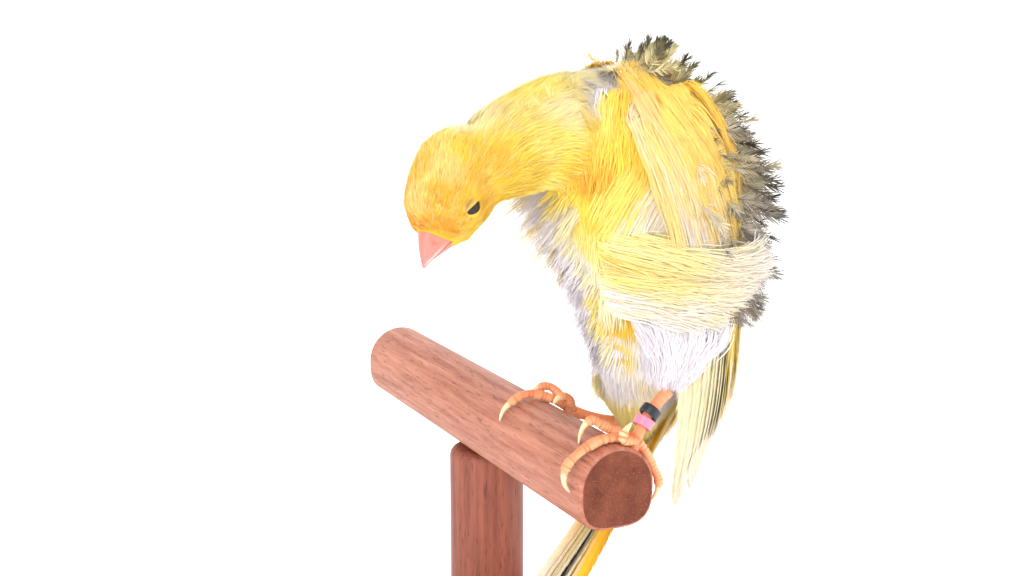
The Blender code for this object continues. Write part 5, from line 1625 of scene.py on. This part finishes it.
feet = {
    "toeRadius": 1.22, "shankRadius": 1.35, "palmRadius": 1.75, "scute": 0.95,
    "skin": tone("F2B07E"), "warm": tone("F09466"), "pad": tone("E4683F"),
    "scuteTop": tone("F8D9A4"), "claw": tone("F3D9AC"),
    "toes": {  # turn round the perch from its top towards the front, height off it, place along Y
        "left": [
            [(-34, 1.6, -69.0), (-5, 1.3, -69.2), (24, 1.7, -69.4), (46, 2.4, -69.4),
             (63, 3.1, -69.3), (79, 2.4, -69.2), (92, 0.6, -69.2)],
            [(-34, 1.8, -68.4), (-12, 2.2, -65.6), (0, 3.4, -64.6), (8, 4.7, -64.2),
             (18, 3.9, -64.0), (31, 0.7, -63.8)],
            [(-34, 1.7, -69.4), (-20, 1.3, -70.8), (-10, 1.7, -71.5), (-12, 3.6, -71.3),
             (-18, 5.6, -70.8)],
            [(-40, 1.8, -69.0), (-58, 1.4, -69.6), (-75, 1.5, -70.0), (-91, 2.7, -70.2),
             (-103, 2.9, -70.2), (-117, 2.0, -70.2)]],
        "right": [
            [(-52, 1.7, -32.6), (-32, 1.4, -30.8), (-14, 1.4, -29.0), (8, 1.9, -28.0),
             (26, 1.6, -27.8), (44, 1.4, -27.8), (59, 0.6, -27.8)],
            [(-52, 1.7, -33.2), (-40, 2.6, -34.4), (-28, 3.5, -35.2), (-18, 2.6, -35.6),
             (-12, 0.8, -35.8)],
            [(-52, 1.7, -32.0), (-40, 2.8, -29.0), (-27, 3.9, -26.5), (-14, 2.6, -25.4),
             (-4, 0.7, -25.0)],
            [(-60, 1.7, -32.6), (-78, 1.4, -32.0), (-96, 1.5, -31.8), (-112, 2.4, -31.8),
             (-126, 1.5, -31.8)]]}}
perch = {"radius": 10.0, "z": 70.0, "ends": (-73.0, 67.0), "edge": 1.2, "square": 3.2}


def roundPerch(turn, height, y):
    reach = perch["radius"] + height
    turn = math.radians(turn)
    return np.array((-reach * math.sin(turn), y, perch["z"] + reach * math.cos(turn)))


def scuteTube(centres, radii, pitch, tintAt, sides=20, depth=0.16):
    # A tube with scutes: low steps across its upper side, each lapping the next.
    rings, tints = [], []
    total = 0.0
    for i, centre in enumerate(centres):
        if i:
            total += np.linalg.norm(centre - centres[i - 1])
        run = unit(centres[min(i + 1, len(centres) - 1)] - centres[max(i - 1, 0)])
        across = unit(np.array((0, 1.0, 0)) - run * run[1])
        deep = np.cross(run, across)
        saw = (total / pitch) % 1.0
        ring = []
        for t in np.linspace(0, 2 * math.pi, sides, endpoint=False):
            front = 0.5 + 0.5 * math.cos(t)
            r = radii[i] * (1 + depth * (saw - 0.5) * (0.3 + front))
            ring.append(centre + deep * r * math.cos(t) + across * r * math.sin(t))
            tints.append(tintAt(i / (len(centres) - 1), front, saw))
        rings.append(ring)
    points, faces = skinned(rings)
    tints = np.vstack([tints, [tints[0], tints[-1]]])
    return points, faces, tints, np.zeros((len(points), 2))


def toeTint(t, front, saw):
    base = mix(feet["skin"], feet["warm"], 0.5 + 0.5 * math.sin(t * 17))
    base = mix(base, feet["scuteTop"], 0.75 * front * (saw > 0.3))
    base = mix(base, feet["pad"], 0.7 * (saw < 0.18) + 0.4 * (1 - front) * (saw >= 0.18))
    return mix(base, feet["claw"], float(step(0.70, 0.78, t)))


def shankTint(t, front, saw):
    return mix(feet["warm"], feet["skin"], front * saw)


def makeFeet():
    for side in legs:
        root = np.array(legs[side]["line"][5])
        parts = []
        for rows in feet["toes"][side]:
            centres = [roundPerch(*row) for row in smoothRows(rows, 60)]
            radii = []
            for i in range(60):
                t = i / 59
                radius = feet["toeRadius"] * (1.05 - 0.25 * t) * (1 + 0.1 * math.cos(t * 19))
                if t > 0.7:
                    radius = feet["toeRadius"] * 0.66 * (1 - (t - 0.7) / 0.3) ** 0.8 + 0.10
                radii.append(radius)
            parts.append(scuteTube(centres, radii, feet["scute"], toeTint))
        rings = []
        for polar in np.linspace(5, 175, 14):
            a = math.radians(polar)
            rings.append([root + (-0.3, 0, -0.2) + np.array((math.sin(a) * math.cos(t),
                          math.sin(a) * math.sin(t), math.cos(a))) * feet["palmRadius"]
                          for t in np.linspace(0, 2 * math.pi, 20, endpoint=False)])
        points, faces = skinned(rings)
        parts.append((points, faces, np.repeat([feet["warm"]], len(points), 0),
                      np.zeros((len(points), 2))))
        points, faces, tints, _ = gather(parts)
        finishPiece("toes" + side.capitalize(), points, faces, "scaly",
                    ("foot_" + side,), tints)
        line = smoothRows(legs[side]["line"][3:6], 60)[2:]
        radii = feet["shankRadius"] * np.interp(np.linspace(0, 1, len(line)),
                                                (0, 0.15, 0.4, 0.7, 1), (1.25, 1.05, 0.95, 0.98, 1.2))
        points, faces, tints, _ = scuteTube(line, radii, 1.5, shankTint, 24, 0.04)
        finishPiece("shank" + side.capitalize(), points, faces, "scaly",
                    ("shank_" + side,), tints)
    print("feet")


rings = {"places": (("ring_black", "black", 7.2), ("ring_pink", "pink", 10.2)),
         "length": 2.4, "radius": 2.45, "inner": 1.77, "soft": 0.28, "sides": 64}


def shankPlace(distance):
    line = smoothRows(legs["left"]["line"][3:6], 25)
    for here, after in zip(line, line[1:]):
        gap = np.linalg.norm(after - here)
        if distance <= gap:
            return here + (after - here) * distance / gap, unit(after - here)
        distance -= gap
    return line[-1], unit(line[-1] - line[-2])


def makeRings():
    for node, look, place in rings["places"]:
        centre, run = shankPlace(place)
        half, outer, inner = rings["length"] / 2, rings["radius"], rings["inner"]
        soft, sides = rings["soft"], rings["sides"]
        outline = [(inner, -half + 0.1)]
        for a in np.linspace(-90, 0, 6):
            outline.append((outer - soft + soft * math.cos(math.radians(a)),
                            -half + soft + soft * math.sin(math.radians(a))))
        for a in np.linspace(0, 90, 6):
            outline.append((outer - soft + soft * math.cos(math.radians(a)),
                            half - soft + soft * math.sin(math.radians(a))))
        outline.append((inner, half - 0.1))
        across = unit(np.cross(run, (0, 0, 1)))
        deep = np.cross(run, across)
        points = np.array([[centre + (across * math.cos(t) + deep * math.sin(t)) * r + run * a
                            for r, a in outline]
                           for t in np.linspace(0, 2 * math.pi, sides, endpoint=False)])
        count = len(outline)
        faces = []
        for i in range(sides):
            for k in range(count):
                a, b = i * count, (i + 1) % sides * count
                n = (k + 1) % count
                faces.append((a + k, a + n, b + n))
                faces.append((a + k, b + n, b + k))
        finishPiece(node.replace("ring_", "legRing_"), points.reshape(-1, 3), np.array(faces), look,
                    (node,))
    print("rings")


makeFeet()
makeRings()


# Perch, post and foot of the stand

stand = {"footRadius": 46.0, "footHeight": 10.0, "footCentre": (5.0, -28.0), "postRadius": 10.25,
         "postTop": 59.7, "postEdge": 2.5, "footEdge": 1.5}


def perchReach(turn, radius):
    if math.sin(turn) >= 0:
        return radius
    corner = abs(math.cos(turn)) ** perch["square"] + abs(math.sin(turn)) ** perch["square"]
    return radius / corner ** (1 / perch["square"])


def makePerch():
    low, high = perch["ends"]
    edge = perch["edge"]
    ends = [(low + edge * (1 - math.cos(math.radians(a))),
             perch["radius"] - edge * (1 - math.sin(math.radians(a))))
            for a in np.linspace(0, 90, 8)]
    ys = ends + [(y, perch["radius"]) for y in np.linspace(low + 8, high - 8, 12)]
    ys += [(low + high - y, r) for y, r in ends[::-1]]
    made = []
    for y, radius in ys:
        made.append([(perchReach(t, radius) * math.cos(t), y,
                      perch["z"] + perchReach(t, radius) * math.sin(t))
                     for t in np.linspace(0, 2 * math.pi, 120, endpoint=False)])
    points, faces = skinned(made)
    inner = np.abs(points[faces][:, :, 1].mean(1) - (low + high) / 2) > (high - low) / 2 - 0.06
    piece = finishPiece("perchRod", points, faces, "perch", ("perch",),
                        slots=["perch", "endGrain"], faceSlots=inner.astype(int))
    piece.data.set_sharp_from_angle(angle=math.radians(50))


def turned(profile, sides):
    return [[(r * math.cos(t), r * math.sin(t), z)
             for t in np.linspace(0, 2 * math.pi, sides, endpoint=False)] for r, z in profile]


def makeStand():
    def rounded(radius, top, edge, count):
        return [(radius - edge * (1 - math.cos(math.radians(a))),
                 top - edge * (1 - math.sin(math.radians(a)))) for a in np.linspace(0, 90, count)]

    radius, edge = stand["postRadius"], stand["postEdge"]
    profile = [(radius, stand["footHeight"] + 0.3), (radius, stand["postTop"] - edge)]
    profile += rounded(radius, stand["postTop"], edge, 8)[1:]
    points, faces = skinned(turned(profile, 96))
    piece = finishPiece("standPost", points, faces, "post", ("stand_post",))
    piece.data.set_sharp_from_angle(angle=math.radians(50))
    radius, edge = stand["footRadius"], stand["footEdge"]
    profile = [(radius - edge / 2, 0), (radius, edge / 2)]
    profile += rounded(radius, stand["footHeight"], edge, 7)
    points, faces = skinned(turned(profile, 128))
    points = points + (*stand["footCentre"], 0)
    piece = finishPiece("standFoot", points, faces, "foot", ("stand_foot",))
    piece.data.set_sharp_from_angle(angle=math.radians(50))
    print("stand")


makePerch()
makeStand()


# Studio

studio = {"turn": -25.8, "glow": 0.35, "sky": 1.0, "target": (0.0, -0.05, 0.11),
          "lights": (  # name, place, size, power
              ("key", (-0.75, -0.80, 0.90), 0.6, 5), ("fill", (0.9, -0.9, 0.4), 0.9, 3),
              ("low", (-1.0, -0.55, 0.08), 0.9, 7), ("top", (0.1, 0.0, 1.2), 0.8, 3))}
camera = {"lens": 50, "sensor": 36, "place": (-0.15932, -0.34631, 0.18081), "tilt": 11.31,
          "turn": 25.77}


def makeStudio():
    m = Maker("paper", 0.9, Specular_IOR_Level=0.1, Emission_Color=four((1, 1, 1)),
              Emission_Strength=studio["glow"])
    cloud = m.noise(m.place(), 3, 2)
    m.feed("Base Color", m.blend(cloud, four((0.93, 0.93, 0.93)), four((0.96, 0.96, 0.96))))
    points, faces = [], []
    profile = [(-2.6, 0.0), (1.2, 0.0)] + [
        (1.2 + 0.9 * math.sin(math.radians(a)), 0.9 - 0.9 * math.cos(math.radians(a)))
        for a in range(10, 91, 10)] + [(2.1, 4.0)]
    for y, z in profile:
        points += [(-4.5, y, z - 0.0002), (4.5, y, z - 0.0002)]
    for i in range(len(profile) - 1):
        a = 2 * i
        faces.append((a, a + 1, a + 3, a + 2))
    mesh = bpy.data.meshes.new("backdrop")
    mesh.from_pydata(points, [], faces)
    mesh.materials.append(m.material)
    mesh.shade_smooth()
    floor = bpy.data.objects.new("backdrop", mesh)
    floor.rotation_euler = (0, 0, math.radians(studio["turn"]))
    bpy.context.scene.collection.objects.link(floor)
    world = bpy.data.worlds.new("softRoom")
    bpy.context.scene.world = world
    world.use_nodes = True
    sky = world.node_tree.nodes["Background"]
    sky.inputs["Color"].default_value = (1.0, 1.0, 1.0, 1)
    sky.inputs["Strength"].default_value = studio["sky"]
    bpy.context.scene.view_settings.view_transform = "Standard"
    for name, place, size, power in studio["lights"]:
        light = bpy.data.lights.new(name, "AREA")
        light.size = size
        light.energy = power
        lamp = bpy.data.objects.new(name, light)
        lamp.location = place
        bpy.context.scene.collection.objects.link(lamp)
        aim(lamp, np.array(studio["target"]) - np.array(place))
    print("studio")


def aim(obj, direction):
    obj.rotation_euler = Vector(direction).to_track_quat("-Z", "Y").to_euler()


def makeCamera():
    data = bpy.data.cameras.new("camera")
    data.lens = camera["lens"]
    data.sensor_width = camera["sensor"]
    data.clip_start = 0.01
    data.clip_end = 20
    photoCamera = bpy.data.objects.new("camera", data)
    photoCamera.location = camera["place"]
    tilt, turn = math.radians(camera["tilt"]), math.radians(camera["turn"])
    photoCamera.rotation_euler = (math.radians(90) - tilt, 0, -turn)
    bpy.context.scene.collection.objects.link(photoCamera)
    bpy.context.scene.camera = photoCamera


makeStudio()
makeCamera()
